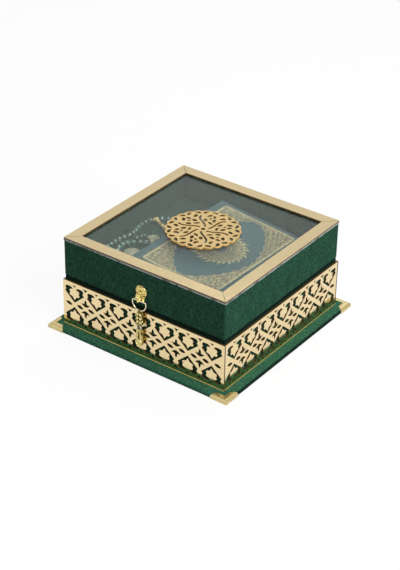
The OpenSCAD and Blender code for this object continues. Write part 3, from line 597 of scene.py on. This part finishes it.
class QURANBOX_OT_covers(bpy.types.Operator):
    """Velvet on the base, tray, raised floor and lid"""

    bl_idname = "quranbox.covers"
    bl_label = "Velvet covers"

    def execute(self, context):
        pile = velvet_material("green_velvet")
        self.base()
        self.tray(pile)
        self.floor()
        self.lid(pile)
        return {"FINISHED"}

    def base(self):
        """The base's cloth, turned under at the edges, in painted light, with painted shade on its right
        side.
        """
        # Painted light: the whole base cover at 1.65 of the velvet's colour, for the light from above
        light = velvet_material("painted_light_velvet", 1.65)
        flat = (0.289, 0.289)
        mesh = self.lying("base_cover", "base", 3 * MM, 6, 3 * MM, light, flat, 0.081, turned=15 * MM)
        # Painted shade: the faces that look right at 0.3 of the velvet's colour
        split(mesh, light, velvet_material("painted_shade_velvet", 0.3), lambda face: face.normal.x > RIGHTWARD)

    def tray(self, pile):
        """The tray's cloth, with painted shade in the seam over the panels."""
        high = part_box("tray_velvet")[1]
        mesh = self.wall("tray", "case", high.z, 1 * MM, 0.4 * MM, pile)
        seam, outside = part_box("lattice_front")[1].z, high.x - 2 * MM
        # Painted shade: the seam's outer faces above the panels at 0.16 of the velvet's colour
        split(
            mesh, pile, velvet_material("painted_shade_seam_velvet", 0.16),
            lambda face: face.center.z > seam and max(abs(face.center.x), abs(face.center.y)) > outside,
        )

    def floor(self):
        pile = velvet_material("floor_velvet", 0.6)
        self.lying("floor_cover", "platform", 2 * MM, 5, 1.5 * MM, pile, (0.349, 0.349), 0.1)

    def lid(self, pile):
        """The lid's cloth, with painted shade on its inner left wall."""
        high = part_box("lid_velvet")[1]
        mesh = self.wall("lid", "lid", high.z - 0.05 * MM, 2 * MM, 1.8 * MM, pile)
        inside = high.x - WALL + 0.5 * MM
        # Painted shade: the inner left wall's faces at half the velvet's colour
        split(
            mesh, pile, velvet_material("painted_shade_wall_velvet", 0.5),
            lambda face: face.normal.x > RIGHTWARD and abs(face.center.x) < inside,
        )

    def lying(self, name, part, edge, steps, corner, pile, flat, area, turned=0):
        """Cloth over a flat board and down its edge; turned is how far it goes on under the board."""
        node = part + "_velvet"
        low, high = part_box(node)
        half, top, under = high.x, high.z, low.z
        foot, inside = (half, under), (half - turned, under)
        profile = [Vector(inside)]
        if turned:
            profile += rounded(inside, foot, (half, top), 0.4 * MM)
        profile += rounded(foot, (half, top), (0, top), edge, steps)
        profile = spaced([*profile, Vector((MIDDLE, top))], 5 * MM)
        return cover(name, node, "case", profile, corner, pile, flat, area, [part + "_board"], capped=True)

    def wall(self, part, body, top, corner, under_edge, pile):
        """Cloth round four boards: down the outside, under, up the inside and over the top."""
        low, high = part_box(part + "_velvet")
        outer, inner, foot = high.x, high.x - WALL, low.z
        corners = [(outer, top), (outer, foot), (inner, foot), (inner, top)]
        edges = [0.6 * MM, under_edge, 0.6 * MM, 0.6 * MM]
        profile = []
        for i, bend in enumerate(corners):
            profile += rounded(corners[i - 1], bend, corners[(i + 1) % 4], edges[i])
        profile = spaced(profile + [profile[0]], 4 * MM)[:-1]
        gap = Vector((0.05, 0.05, 0.0)) * MM
        openings = [(a - gap, b + gap) for a, b in map(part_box, LEAVES)]
        if part == "lid":
            a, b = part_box("pull_screw")
            collar = Vector((1.2, 0, 1.2)) * MM
            openings.append((a + collar, b - collar))
        flat = 4 * (outer + inner), 2 * (top - foot + outer - inner)
        boards = ["%s_wall_%s" % (part, side) for side in SIDES]
        return cover(
            part + "_cover", part + "_velvet", body, profile, corner, pile, flat, None, boards, cuts=openings
        )


class QURANBOX_OT_gold_panels(bpy.types.Operator):
    """Pierced panels, frame strips, foot line and medallion"""

    bl_idname = "quranbox.gold_panels"
    bl_label = "Gold panels"

    def execute(self, context):
        finish = settings()
        face = gold_sheet_material("gold_mirror_sheet", finish.gold)
        edge = cut_edge_material("brown_cut_edge", finish.cut_edge)
        along_x = gold_sheet_material("gold_strip_across", finish.gold, (0.06, 1, 1))
        along_y = gold_sheet_material("gold_strip_along", finish.gold, (1, 0.06, 1))
        for side, outward in SIDES.items():
            dress_sheet("lattice_" + side, face, edge, outward)
            dress_sheet("frame_" + side, along_x if outward.y else along_y, edge, UP)
        deep = gold_sheet_material("gold_medallion", finish.deep_gold)
        dress_sheet("medallion", deep, cut_edge_material("golden_cut_edge", finish.medallion_edge), UP)
        # Painted shade: the walls of the medallion's holes in a dark brown
        self.hole_walls(cut_edge_material("painted_shade_hole_wall", srgb(120, 84, 26)))
        dress(metal_material("dull_foot_line", finish.dull_gold, 0.4), "lattice_foot")
        return {"FINISHED"}

    def hole_walls(self, dark):
        """Walls of the medallion's holes, which lie inside its rim, dark with painted shade."""
        mesh = NODES["medallion"].data
        mesh.materials.append(dark)
        low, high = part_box("medallion")
        rim_share, upright = 0.945, 0.5
        middle, rim = (low + high) / 2, (high.x - low.x) / 2 * rim_share
        for face in mesh.polygons:
            if (face.center - middle).xy.length < rim and abs(face.normal.z) < upright:
                face.material_index = 2


class QURANBOX_OT_corners(bpy.types.Operator):
    """Pressed metal corners of the base"""

    bl_idname = "quranbox.corners"
    bl_label = "Metal corners"

    def execute(self, context):
        metal = metal_material("pressed_brass", settings().brass, 0.3, worn=0.9)
        dress(metal, "corner_front_left", "corner_front_right", "corner_back_left", "corner_back_right")
        return {"FINISHED"}


class QURANBOX_OT_window(bpy.types.Operator):
    """Clear pane of the lid"""

    bl_idname = "quranbox.window"
    bl_label = "Clear pane"

    def execute(self, context):
        clear = clear_material("clear_pane", (0.92, 0.95, 0.93), 1.336)
        edge = frosted_material("frosted_pane_edge", srgb(166, 172, 166))
        split(NODES["lid_pane"].data, clear, edge, lambda face: abs(face.normal.z) <= FACING)
        return {"FINISHED"}


class QURANBOX_OT_hinges(bpy.types.Operator):
    """Hinge leaves, pins and screws"""

    bl_idname = "quranbox.hinges"
    bl_label = "Hinges"

    def execute(self, context):
        small = (*LEAVES, "hinge_pins", "hinge_screws_lower", "hinge_screws_upper", "pull_washer")
        dress(metal_material("hinge_brass", settings().brass, 0.3), *small, "pull_screw")
        soften(0.15 * MM, *small)
        return {"FINISHED"}


class QURANBOX_OT_pull(bpy.types.Operator):
    """Cast pull, its ring and the charm"""

    bl_idname = "quranbox.pull"
    bl_label = "Pull and charm"

    def execute(self, context):
        finish = settings()
        dress(metal_material("pale_wire", finish.pale_gold, 0.2, worn=0.92), "pull_ring")
        self.rosette(metal_material("cast_gold", finish.cast_gold, 0.2, patina=0.16))
        self.charm(finish.charm_gold)
        self.crystal()
        return {"FINISHED"}

    def rosette(self, metal):
        """A domed flower of eight petals with a beaded rim, and the strap that wraps the ring's bar."""
        face_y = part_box("lid_velvet")[0].y
        radius, foot, dome, petals = 7.2 * MM, 1.4 * MM, 4.4 * MM, 8
        middle = Vector((0, face_y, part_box("pull_rosette")[1].z - radius))
        rings, around, beads = 20, 96, 26
        groove, button, button_r = 1.5 * MM, 1.1 * MM, 1.35 * MM
        ditch, ditch_r, ditch_wide = 0.7 * MM, 2.5 * MM, 0.55 * MM
        form = Form()

        def height(r, turn):
            """The dome, grooves between its petals, a button in the middle and a ditch round that."""
            share = r / radius
            petal = abs(cos(petals / 2 * turn)) ** 0.6
            swell = sin(share / 0.9 * pi) ** 0.8 if share < 0.9 else 0
            out = foot + dome * (1 - share ** 2) ** 0.75 * 0.86
            out -= swell * (1 - petal) * groove
            out += button * exp(-(r / button_r) ** 2)
            out -= ditch * exp(-((r - ditch_r) / ditch_wide) ** 2)
            return max(out, foot)

        def spot(r, turn, out):
            x, z = polar(r, turn)
            return middle + Vector((x, -out, z))

        points = [spot(0, 0, height(0, 0))]
        for r in (radius * (i / rings) ** 0.9 for i in range(1, rings + 1)):
            points += [spot(r, turn, height(r, turn)) for turn in turns(around)]
        back = len(points)
        points += [spot(radius, turn, 0.05 * MM) for turn in turns(around)]
        faces = fan(0, 1, around) + bands(rings + 1, around, 1)
        form.join(points, [*faces, tuple(range(back, back + around))])
        for turn in turns(beads):
            form.ball(spot(radius * 0.97, turn, foot), 0.72 * MM)
        self.strap(form, face_y)
        form.made("cast_rosette", metal, "lid", "gold_metal", 50, "pull_rosette")

    def strap(self, form, face_y):
        """A tab with rolled edges and a row of grains, and the narrow loop round the ring's bar."""
        low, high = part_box("pull_ring")
        ring_wire, wrap, wide, narrow, thick = 0.75 * MM, 1.27 * MM, 5.4 * MM, 1.9 * MM, 0.42 * MM
        bar = Vector((0, low.y + ring_wire, high.z - ring_wire))
        tab = [
            Vector((0, face_y - out * MM, bar.z + up * MM))
            for out, up in ((2.4, 7.0), (2.7, 5.4), (3.2, 4.0), (4.0, 2.8), (4.9, 1.9))
        ]
        form.sweep(tab, oblong(wide, -thick, thick))
        for side in (-1, 1):
            form.wire([spot + Vector((side * (wide - 0.5 * MM), -0.2 * MM, 0)) for spot in tab], 0.6 * MM)
        for k in range(-2, 3):
            form.ball(tab[3] + Vector((k * 2.0 * MM, -0.5 * MM, 0.1 * MM)), 0.62 * MM)
        loop = [radians(110 + 260 * k / 20) for k in range(21)]
        around_bar = [bar + wrap * Vector((0, *polar(1, t))) for t in loop]
        form.sweep(tab[-2:] + around_bar, oblong(narrow, -thick, thick))

    def charm(self, tint):
        """Cap and drop from the frame, with filigree wire and grains on both faces."""
        dress(metal_material("aged_gold", shade(tint, 0.3), 0.35), "charm_cap")
        dress(metal_material("drop_gold", shade(tint, 0.75), 0.3, patina=0.2), "charm_drop")
        soften(0.3 * MM, "charm_cap", "charm_drop")
        low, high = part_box("charm_drop")
        depth, cap_top = 1.3 * MM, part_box("charm_cap")[1].z - 3.9 * MM
        form = Form()
        for face in (-1, 1):
            self.filigree(form, (low.y + high.y) / 2 + face * depth, cap_top, low.z)
        bright = metal_material("pale_filigree", tint, 0.18)
        form.made("charm_filigree", bright, "charm", "gold_metal", 50)

    def filigree(self, form, y, cap_top, foot):
        """One face: curls and grains on the cap, a ring of grains and two rows of them on the drop."""
        ahead, ring_z = Vector((0, 1, 0)), foot + 4.8 * MM

        def grain(x, z, radius):
            form.ball((x, y, z), radius * MM, 8, 5)

        for side in (-1, 1):
            for z in (cap_top - (3.2 + 4.9 * step) * MM for step in range(3)):
                line = [
                    (side * (2.0 * MM + x), y, z + rise) for x, rise in curl(0, 4.2 * pi, 1.55, 1.25, 18)
                ]
                form.wire(line, 0.3 * MM, 6, up=ahead)
                grain(side * 3.9 * MM, z - 2.3 * MM, 0.5)
        for k in range(11):
            x, rise = polar(3.9 * MM, pi * (k + 0.5) / 11)
            grain(x, cap_top - 4.3 * MM + rise, 0.42)
        ring = [polar(3.5 * MM, t) for t in turns(28)]
        form.wire([(x, y, ring_z + rise) for x, rise in ring], 0.32 * MM, 6, up=ahead, closed=True)
        for x, rise in (polar(1.9 * MM, t) for t in turns(6)):
            grain(x, ring_z + rise, 0.6)
        grain(0, ring_z, 0.75)
        for side in (-1, 1):
            for k in range(6):
                grain(side * (3.1 - 0.14 * k) * MM, foot + (10.6 + 1.6 * k) * MM, 0.5)

    def crystal(self):
        """A brilliant cut, table to the front: rows of (share of the radius, depth, shift round)."""
        low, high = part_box("charm_crystal")
        centre, radius, sides = (low + high) / 2, (high.x - low.x) / 2, 10
        rows = [(0.52, -0.8, 0), (0.86, -0.46, 0.5), (1.0, -0.12, 0), (1.0, 0.1, 0), (0.62, 0.55, 0.5)]
        points = []
        for share, out, shift in rows:
            for x, z in (polar(share, tau * (k + shift) / sides) for k in range(sides)):
                points.append(centre + radius * Vector((x, out, z)))
        points.append(centre + radius * Vector((0, 0.97, 0)))
        faces = [tuple(range(sides))]
        for i in range(len(rows) - 1):
            turned = rows[i + 1][2] - rows[i][2]
            for k in range(sides):
                a, b = i * sides + k, i * sides + (k + 1) % sides
                c, d = a + sides, b + sides
                faces += [(a, b, c), (b, d, c)] if turned > 0 else [(a, d, c), (a, b, d)]
        faces += fan(len(points) - 1, (len(rows) - 1) * sides, sides)
        form = Form()
        form.join(points, faces)
        stone = clear_material("cut_crystal", (0.95, 0.97, 0.98), 1.6)
        form.made("cut_crystal", stone, "charm", "crystal", 5, "charm_crystal")


class QURANBOX_OT_book(bpy.types.Operator):
    """Book with its gilt cover"""

    bl_idname = "quranbox.book"
    bl_label = "Book"

    def execute(self, context):
        finish = settings()
        covers = ("book_front_cover", "book_back_cover", "book_spine")
        dress(cloth_material("book_cloth", finish.cover, 1300, 0.7, 0.2), *covers)
        dress(page_material("page_edges", finish.paper), "book_pages")
        soften(0.5 * MM, *covers)
        self.face()
        self.gilding()
        return {"FINISHED"}

    def face(self):
        """The front cover's upper face: the gilding's middle, its short and long directions, and outward."""
        mesh = NODES["book_front_cover"].data
        outward = max((p.normal.copy() for p in mesh.polygons), key=lambda n: n.z)
        top = max(v.co.dot(outward) for v in mesh.vertices)
        rim = [v.co for v in mesh.vertices if v.co.dot(outward) > top - 0.1 * MM]
        uphill = Vector((0, 1, 0)) - outward * outward.y
        least, most, edge = 120 * MM, 175 * MM, 7.7 * MM
        long_sides = [(a - b).normalized() for a in rim for b in rim if least < (a - b).length < most]
        along = max(long_sides, key=lambda side: side.dot(uphill))
        across = along.cross(outward).normalized()
        high_x = max(v.dot(across) for v in rim)
        low_y, high_y = (f(v.dot(along) for v in rim) for f in (min, max))
        middle_x = high_x - edge - sizes().gilt_width / 2
        self.middle = across * middle_x + along * (low_y + high_y) / 2 + outward * top
        self.across, self.along, self.outward = across, along, outward

    def place(self, x, y, h):
        return self.middle + self.across * x + self.along * y + self.outward * h

    def strip(self, form, line, width, high, low=0.02, closed=False):
        """A flat band along a line of (x, y) points; width and levels over the cloth in millimetres."""
        spots = [self.place(x, y, 0) for x, y in line]
        form.sweep(spots, oblong(width / 2 * MM, low * MM, high * MM), up=self.outward, closed=closed)

    def plate(self, form, outline, high, low=0.02):
        """A flat closed plate over an outline of (x, y) points, between such levels."""
        count = len(outline)
        points = [self.place(x, y, h * MM) for h in (low, high) for x, y in outline]
        tops = geometry.tessellate_polygon([[Vector((x, y, 0)) for x, y in outline]])
        faces = [tuple(reversed(t)) for t in tops] + [tuple(count + i for i in t) for t in tops]
        form.join(points, faces + bands(2, count))

    def field(self, count):
        """The blue field's lobed edge: an oval whose sides swell in small arcs between cusps."""
        a, b = sizes().field_width, sizes().field_length
        fine, lobes, power = 720, 28, 1.25
        oval = []
        for c, s in (polar(1, t) for t in turns(fine)):
            x, y = (copysign(abs(v) ** power, v) for v in (c, s))
            oval.append(Vector((x * a, y * b)))
        oval.append(oval[0])
        run = [0.0]
        for p, q in zip(oval, oval[1:]):
            run.append(run[-1] + (q - p).length)
        edge = []
        for k in range(count):
            want = run[-1] * k / count
            i = bisect.bisect_right(run, want) - 1
            spot = oval[i].lerp(oval[i + 1], (want - run[i]) / (run[i + 1] - run[i]))
            heading = (oval[i + 1] - oval[i]).normalized()
            swell = abs(sin(pi * lobes * k / count))
            edge.append(spot + Vector((heading.y, -heading.x)) * (swell * 2.6 - 1.4) * MM)
        return edge

    def gilding(self):
        """Gilt ground round the blue field, its border lines, the scrolls and the sun."""
        gilt = settings().gilt
        ground = gilt_material("gilt_ground", shade(gilt, 0.14), 0.0, 520, 3)
        gold = gilt_material("gilt_lines", gilt)
        plain = gilt_material("gilt_border", shade(gilt, 0.9), spot=0.55)
        wide, long = sizes().gilt_width / 2, sizes().gilt_length / 2
        plates, lines, scrolls = Form(), Form(), Form()
        edge = self.field(448)
        quarter = len(edge) // 4
        for k, (sx, sy) in enumerate(QUARTERS):
            arc = [edge[(k * quarter + i) % len(edge)] for i in range(quarter + 1)]
            corner = [(0, sy * long), (sx * wide, sy * long), (sx * wide, 0)]
            if k % 2:
                corner.reverse()
            self.plate(plates, [tuple(p) for p in arc] + corner, 0.1)
        border, past = 2.8, 0.65
        inset = (border / 2 - past) * MM
        rect = [(x * (wide - inset), y * (long - inset)) for x, y in QUARTERS]
        for side in zip(rect, rect[1:] + rect[:1]):
            self.strip(lines, side, border, 0.26)
        self.strip(lines, edge, 0.8, 0.24, closed=True)
        self.scrolls(scrolls, wide, long)
        self.sun(plates, lines)
        plates.made("gilt_ground", ground, "case", "book_cover", 30)
        lines.made("gilt_lines", plain, "case", "book_cover", 30)
        scrolls.made("gilt_scrolls", gold, "case", "book_cover", 30)

    def scrolls(self, form, wide, long):
        """Small tendrils that curl both ways between the border and the field."""
        pick = random.Random(7)
        pitch, margin, clear = 5.8 * MM, 2.4 * MM, 2.6 * MM
        row = pitch * 0.87
        a, b = sizes().field_width + clear, sizes().field_length + clear
        leaf = ((2.4, 2.5), (3.4, 2.85), (3.7, 3.2), (2.6, 3.1))
        for j in range(int(2 * long / row) + 1):
            for i in range(int(2 * wide / pitch) + 1):
                x = -wide + (i + 0.5 * (j % 2) + 0.3) * pitch
                y = -long + (j + 0.5) * row
                in_field = (abs(x) / a) ** 1.6 + (abs(y) / b) ** 1.6 < 1
                if in_field or abs(x) > wide - margin or abs(y) > long - margin:
                    continue
                way, start = (1 if (i + j) % 2 else -1), pick.uniform(0, tau)
                tendril = curl(start, way * 3.3 * pi, 2.35, 1.95, 12)
                self.strip(form, [(x + u, y + v) for u, v in tendril], 0.72, 0.2, 0.05)
                outline = (polar(r * MM, start + t) for r, t in leaf)
                self.plate(form, [(x + u, y + v) for u, v in outline], 0.2, 0.05)

    def sun(self, plates, lines):
        """Rings round a star of crossed bands, with waved flames outside."""
        reach = sizes().sun
        inner, outer, flames, curls, points = reach * 0.5, reach * 0.76, 32, 24, 16

        def ring(radius, count=96):
            return [polar(radius, t) for t in turns(count)]

        self.strip(plates, ring((inner + outer) / 2), (outer - inner) / MM, 0.1, closed=True)
        for radius, width in ((inner, 1.1), (inner - 1.8 * MM, 0.5), (outer, 1.0)):
            self.strip(lines, ring(radius), width, 0.24, closed=True)
        for k, turn in enumerate(turns(curls)):
            centre = Vector(polar(1, turn)) * (inner + outer) / 2
            sweep = (1 if k % 2 else -1) * 3.6 * pi
            line = [(centre.x + x, centre.y + y) for x, y in curl(turn, sweep, 3.3, 2.7, 14)]
            self.strip(lines, line, 0.75, 0.22, 0.05)
        for k, turn in enumerate(turns(flames)):
            tall = reach if k % 2 else reach * 0.93
            left, right = [], []
            for share, half in ((0.0, 0.062), (0.3, 0.07), (0.55, 0.038), (0.8, 0.016), (1.0, 0.003)):
                r = outer + (tall - outer) * share
                bend = turn + 0.05 * sin(share * pi * 1.6)
                left.append(polar(r, bend + half))
                right.insert(0, polar(r, bend - half))
            self.plate(lines, right + left, 0.2)
        star = ring((inner - 2.4 * MM) * 0.98, points)
        for step in (3, 5):
            for k in range(points):
                self.strip(lines, [star[k], star[(k + step) % points]], 0.5, 0.16 + 0.01 * step)


class QURANBOX_OT_beads(bpy.types.Operator):
    """Prayer beads, cord, collar and tassels"""

    bl_idname = "quranbox.beads"
    bl_label = "Prayer beads"

    # The strand's way over the floor as in the frame, in millimetres from the floor's left edge
    LOOP = (
        (101, 8), (99, -8), (83, -15), (59, -14), (37, -17), (28, -22), (20, -29), (16, -38), (18, -49),
        (22, -60), (21, -71), (13, -77), (6, -72), (4, -62), (5, -50), (4, -38), (6, -26), (9, -16), (8, -6),
        (5, 4), (4, 15), (6, 27), (13, 35), (25, 42), (47, 46), (73, 40), (93, 26),
    )
    TAIL = ((16.4, -16.6), (19.6, -12.6), (21.4, -7.8), (22.6, -2.8))
    # Each tassel's place, heading and half spread in degrees, and reach
    TASSELS = (((35.5, -9), 114, 46, 15), ((40, -51.8), 126, 38, 22))
    THREAD = 0.27 * MM

    def execute(self, context):
        finish = settings()
        dress(pearl_material("pearl_green", finish.bead), "prayer_beads")
        # Painted shade: dark spots in the collar's gold stand for the shade in its piercings
        gold_painted_hole_shade = gilt_material("bead_gold", shade(finish.cast_gold, 0.8), 0.4, 330, 0.1)
        dress(gold_painted_hole_shade, "prayer_bead_collar", "tassel_caps")
        soften(0.12 * MM, "prayer_bead_collar", "tassel_caps")
        low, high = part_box("platform_velvet")
        self.edge, self.floor = low.x, high.z + 0.08 * MM
        self.cord()
        self.fringe()
        return {"FINISHED"}

    def route(self, spots):
        return [Vector((x * MM + self.edge, y * MM)) for x, y in spots]

    def loop(self):
        """The loop's line, smooth through the route's points as in the frame."""
        route, steps = self.route(self.LOOP), 14
        line = []
        for i in range(len(route)):
            a, b, c, d = (route[(i + k) % len(route)] for k in (-1, 0, 1, 2))
            line += geometry.interpolate_bezier(b, b + (c - a) / 6, c - (d - b) / 6, c, steps + 1)[:-1]
        return line

    def cord(self):
        """Three threads twisted round each other, through the beads and along the tail."""
        form = Form()
        tail = self.route(self.TAIL)
        fine = [a.lerp(b, k / 6) for a, b in zip(tail, tail[1:]) for k in range(6)] + [tail[-1]]
        loop_height, tail_height, twist = 3.2 * MM, 2.3 * MM, 0.22 * MM
        for line, z, closed in ((self.loop(), loop_height, True), (fine, tail_height, False)):
            count = len(line)
            twists = round(count / 3) if closed else count / 3
            for strand in range(3):
                points = []
                for i, (spot, heading) in enumerate(zip(line, headings(line, closed))):
                    turn = tau * (strand / 3 + twists * i / count)
                    aside = Vector((-heading.y, heading.x, 0)) * cos(turn) + UP * sin(turn)
                    points.append(Vector((spot.x, spot.y, self.floor + z)) + aside * twist)
                form.wire(points, self.THREAD, 5, up=UP, closed=closed)
        silk = cloth_material("bead_cord", srgb(40, 70, 56), 2500)
        form.made("bead_string", silk, "case", "cord_green", 70, "prayer_bead_cord")

    def fringe(self):
        """Two fans of silk threads, each thread on its own way from the cap to the floor."""
        pick = random.Random(19)
        form = Form()
        cap, drawn, root = 1.6 * MM, 0.25, 0.1 * MM
        count = sizes().strands
        for (x, y), heading, spread, reach in self.TASSELS:
            turned = Matrix.Translation((x * MM + self.edge, y * MM, self.floor))
            turned = turned @ Matrix.Rotation(radians(heading), 4, "Z")
            for k in range(count):
                side = 2 * (k + pick.random()) / count - 1
                layer = pick.random()
                fan_turn = radians(spread) * side * 0.96
                bend = pick.uniform(-0.05, 0.05)
                long = reach * MM * (1 - drawn * side * side) * pick.uniform(0.93, 0.99)
                start_y = cap * 0.85 * side
                start_z = cap + cap * 0.8 * (2 * layer - 1) * sqrt(1 - side * side)
                end_z = (0.35 + 1.5 * layer) * MM
                line = []
                for t in (i / 7 for i in range(8)):
                    ahead, aside = polar(root + (long - root) * t, fan_turn + bend * sin(t * pi))
                    ease = t * t * (3 - 2 * t)
                    line.append(turned @ Vector((
                        ahead, start_y * (1 - t) + aside * t ** 0.25, start_z * (1 - ease) + end_z * ease
                    )))
                form.wire(line, self.THREAD, 5, size=lambda t: 1 - 0.35 * t)
        silk = cloth_material("tassel_silk", settings().thread, 2500)
        form.made("tassel_fringe", silk, "case", "tassel_thread", 70, "tassel_threads")


class QURANBOX_OT_stage(bpy.types.Operator):
    """Floor, light and camera"""

    bl_idname = "quranbox.stage"
    bl_label = "Stage"

    # Each softbox: name, place, size and power; all look at the aim
    LAMPS = (
        ("key_softbox", (1.3, -0.25, 1.25), 1.0, 26.0),
        ("fill_softbox", (-0.7, -1.3, 0.9), 1.1, 1.8),
        ("top_softbox", (-0.3, 0.8, 1.4), 1.0, 9.0),
    )
    AIM = Vector((0, 0, 0.05))

    def execute(self, context):
        scene = context.scene
        scene.view_settings.view_transform = "Standard"
        self.floor()
        self.world(scene)
        for lamp in self.LAMPS:
            self.lamp(*lamp)
        self.camera(scene, scene.quran_box_stage)
        return {"FINISHED"}

    def floor(self):
        """White paper that the camera sees bright, dimmer where it lights the box."""
        reach = 6.0
        mesh = bpy.data.meshes.new("studio_floor")
        mesh.from_pydata([(x * reach, y * reach, 0) for x, y in QUARTERS], [], [(0, 1, 2, 3)])
        floor = added("studio_floor", mesh)
        floor.location.z = -0.2 * MM
        g = Graph("white_floor")
        path = g.add("LightPath").outputs
        tone = g.ramp(path["Is Diffuse Ray"], 0, 1, 0.9, 0.3)
        paper = g.add("BsdfDiffuse", {"Color": tone})
        glow = g.add("Emission", {"Color": (1, 1, 1)})
        mesh.materials.append(g.blend(g.seen(path, 0.9, 0.6), paper, glow))

    def world(self, scene):
        """A white room, dimmer where it lights the box."""
        g = Graph("white_room", "worlds")
        scene.world = g.owner
        strength = g.ramp(g.seen(g.add("LightPath").outputs, 1.0, 0.62), 0, 1, 0.35, 1.0)
        g.finish(g.add("Background", {"Color": (1, 1, 1), "Strength": strength}), "OutputWorld")

    def lamp(self, name, where, size, power):
        light = bpy.data.lights.new(name, "AREA")
        light.shape, light.size, light.energy = "SQUARE", size, power
        lamp = added(name, light)
        lamp.location = where
        lamp.rotation_euler = (self.AIM - Vector(where)).to_track_quat("-Z", "Y").to_euler()

    def camera(self, scene, stage):
        camera = added("camera", bpy.data.cameras.new("camera"))
        camera.data.lens, camera.data.sensor_width = stage.focal, 36.0
        turned = Matrix.Rotation(stage.azimuth, 4, "Z") @ Matrix.Rotation(pi / 2 - stage.elevation, 4, "X")
        turned = turned @ Matrix.Rotation(stage.roll, 4, "Z") @ Matrix.Translation((0, 0, stage.distance))
        camera.matrix_world = Matrix.Translation(stage.target) @ turned
        scene.camera = camera


class QURANBOX_PT_panel(bpy.types.Panel):
    """Lists the steps that dress the box"""

    bl_idname = "QURANBOX_PT_panel"
    bl_label = "Quran box"
    bl_space_type = "VIEW_3D"
    bl_region_type = "UI"
    bl_category = "Quran box"

    def draw(self, context):
        for operator in OPERATORS:
            self.layout.operator(operator.bl_idname)


OPERATORS = (
    QURANBOX_OT_boards, QURANBOX_OT_covers, QURANBOX_OT_gold_panels, QURANBOX_OT_corners,
    QURANBOX_OT_window, QURANBOX_OT_hinges, QURANBOX_OT_pull, QURANBOX_OT_book, QURANBOX_OT_beads,
    QURANBOX_OT_stage,
)
GROUPS = {
    "quran_box_finish": QuranBoxFinish, "quran_box_sizes": QuranBoxSizes, "quran_box_stage": QuranBoxStage
}
CLASSES = (*GROUPS.values(), *OPERATORS, QURANBOX_PT_panel)


def register():
    for item in CLASSES:
        bpy.utils.register_class(item)
    for name, group in GROUPS.items():
        setattr(bpy.types.Scene, name, bpy.props.PointerProperty(type=group))


def unregister():
    for name in GROUPS:
        delattr(bpy.types.Scene, name)
    for item in reversed(CLASSES):
        bpy.utils.unregister_class(item)


def main():
    register()
    for operator in OPERATORS:
        group, name = operator.bl_idname.split(".")
        getattr(getattr(bpy.ops, group), name)()


if __name__ == "__main__":
    main()
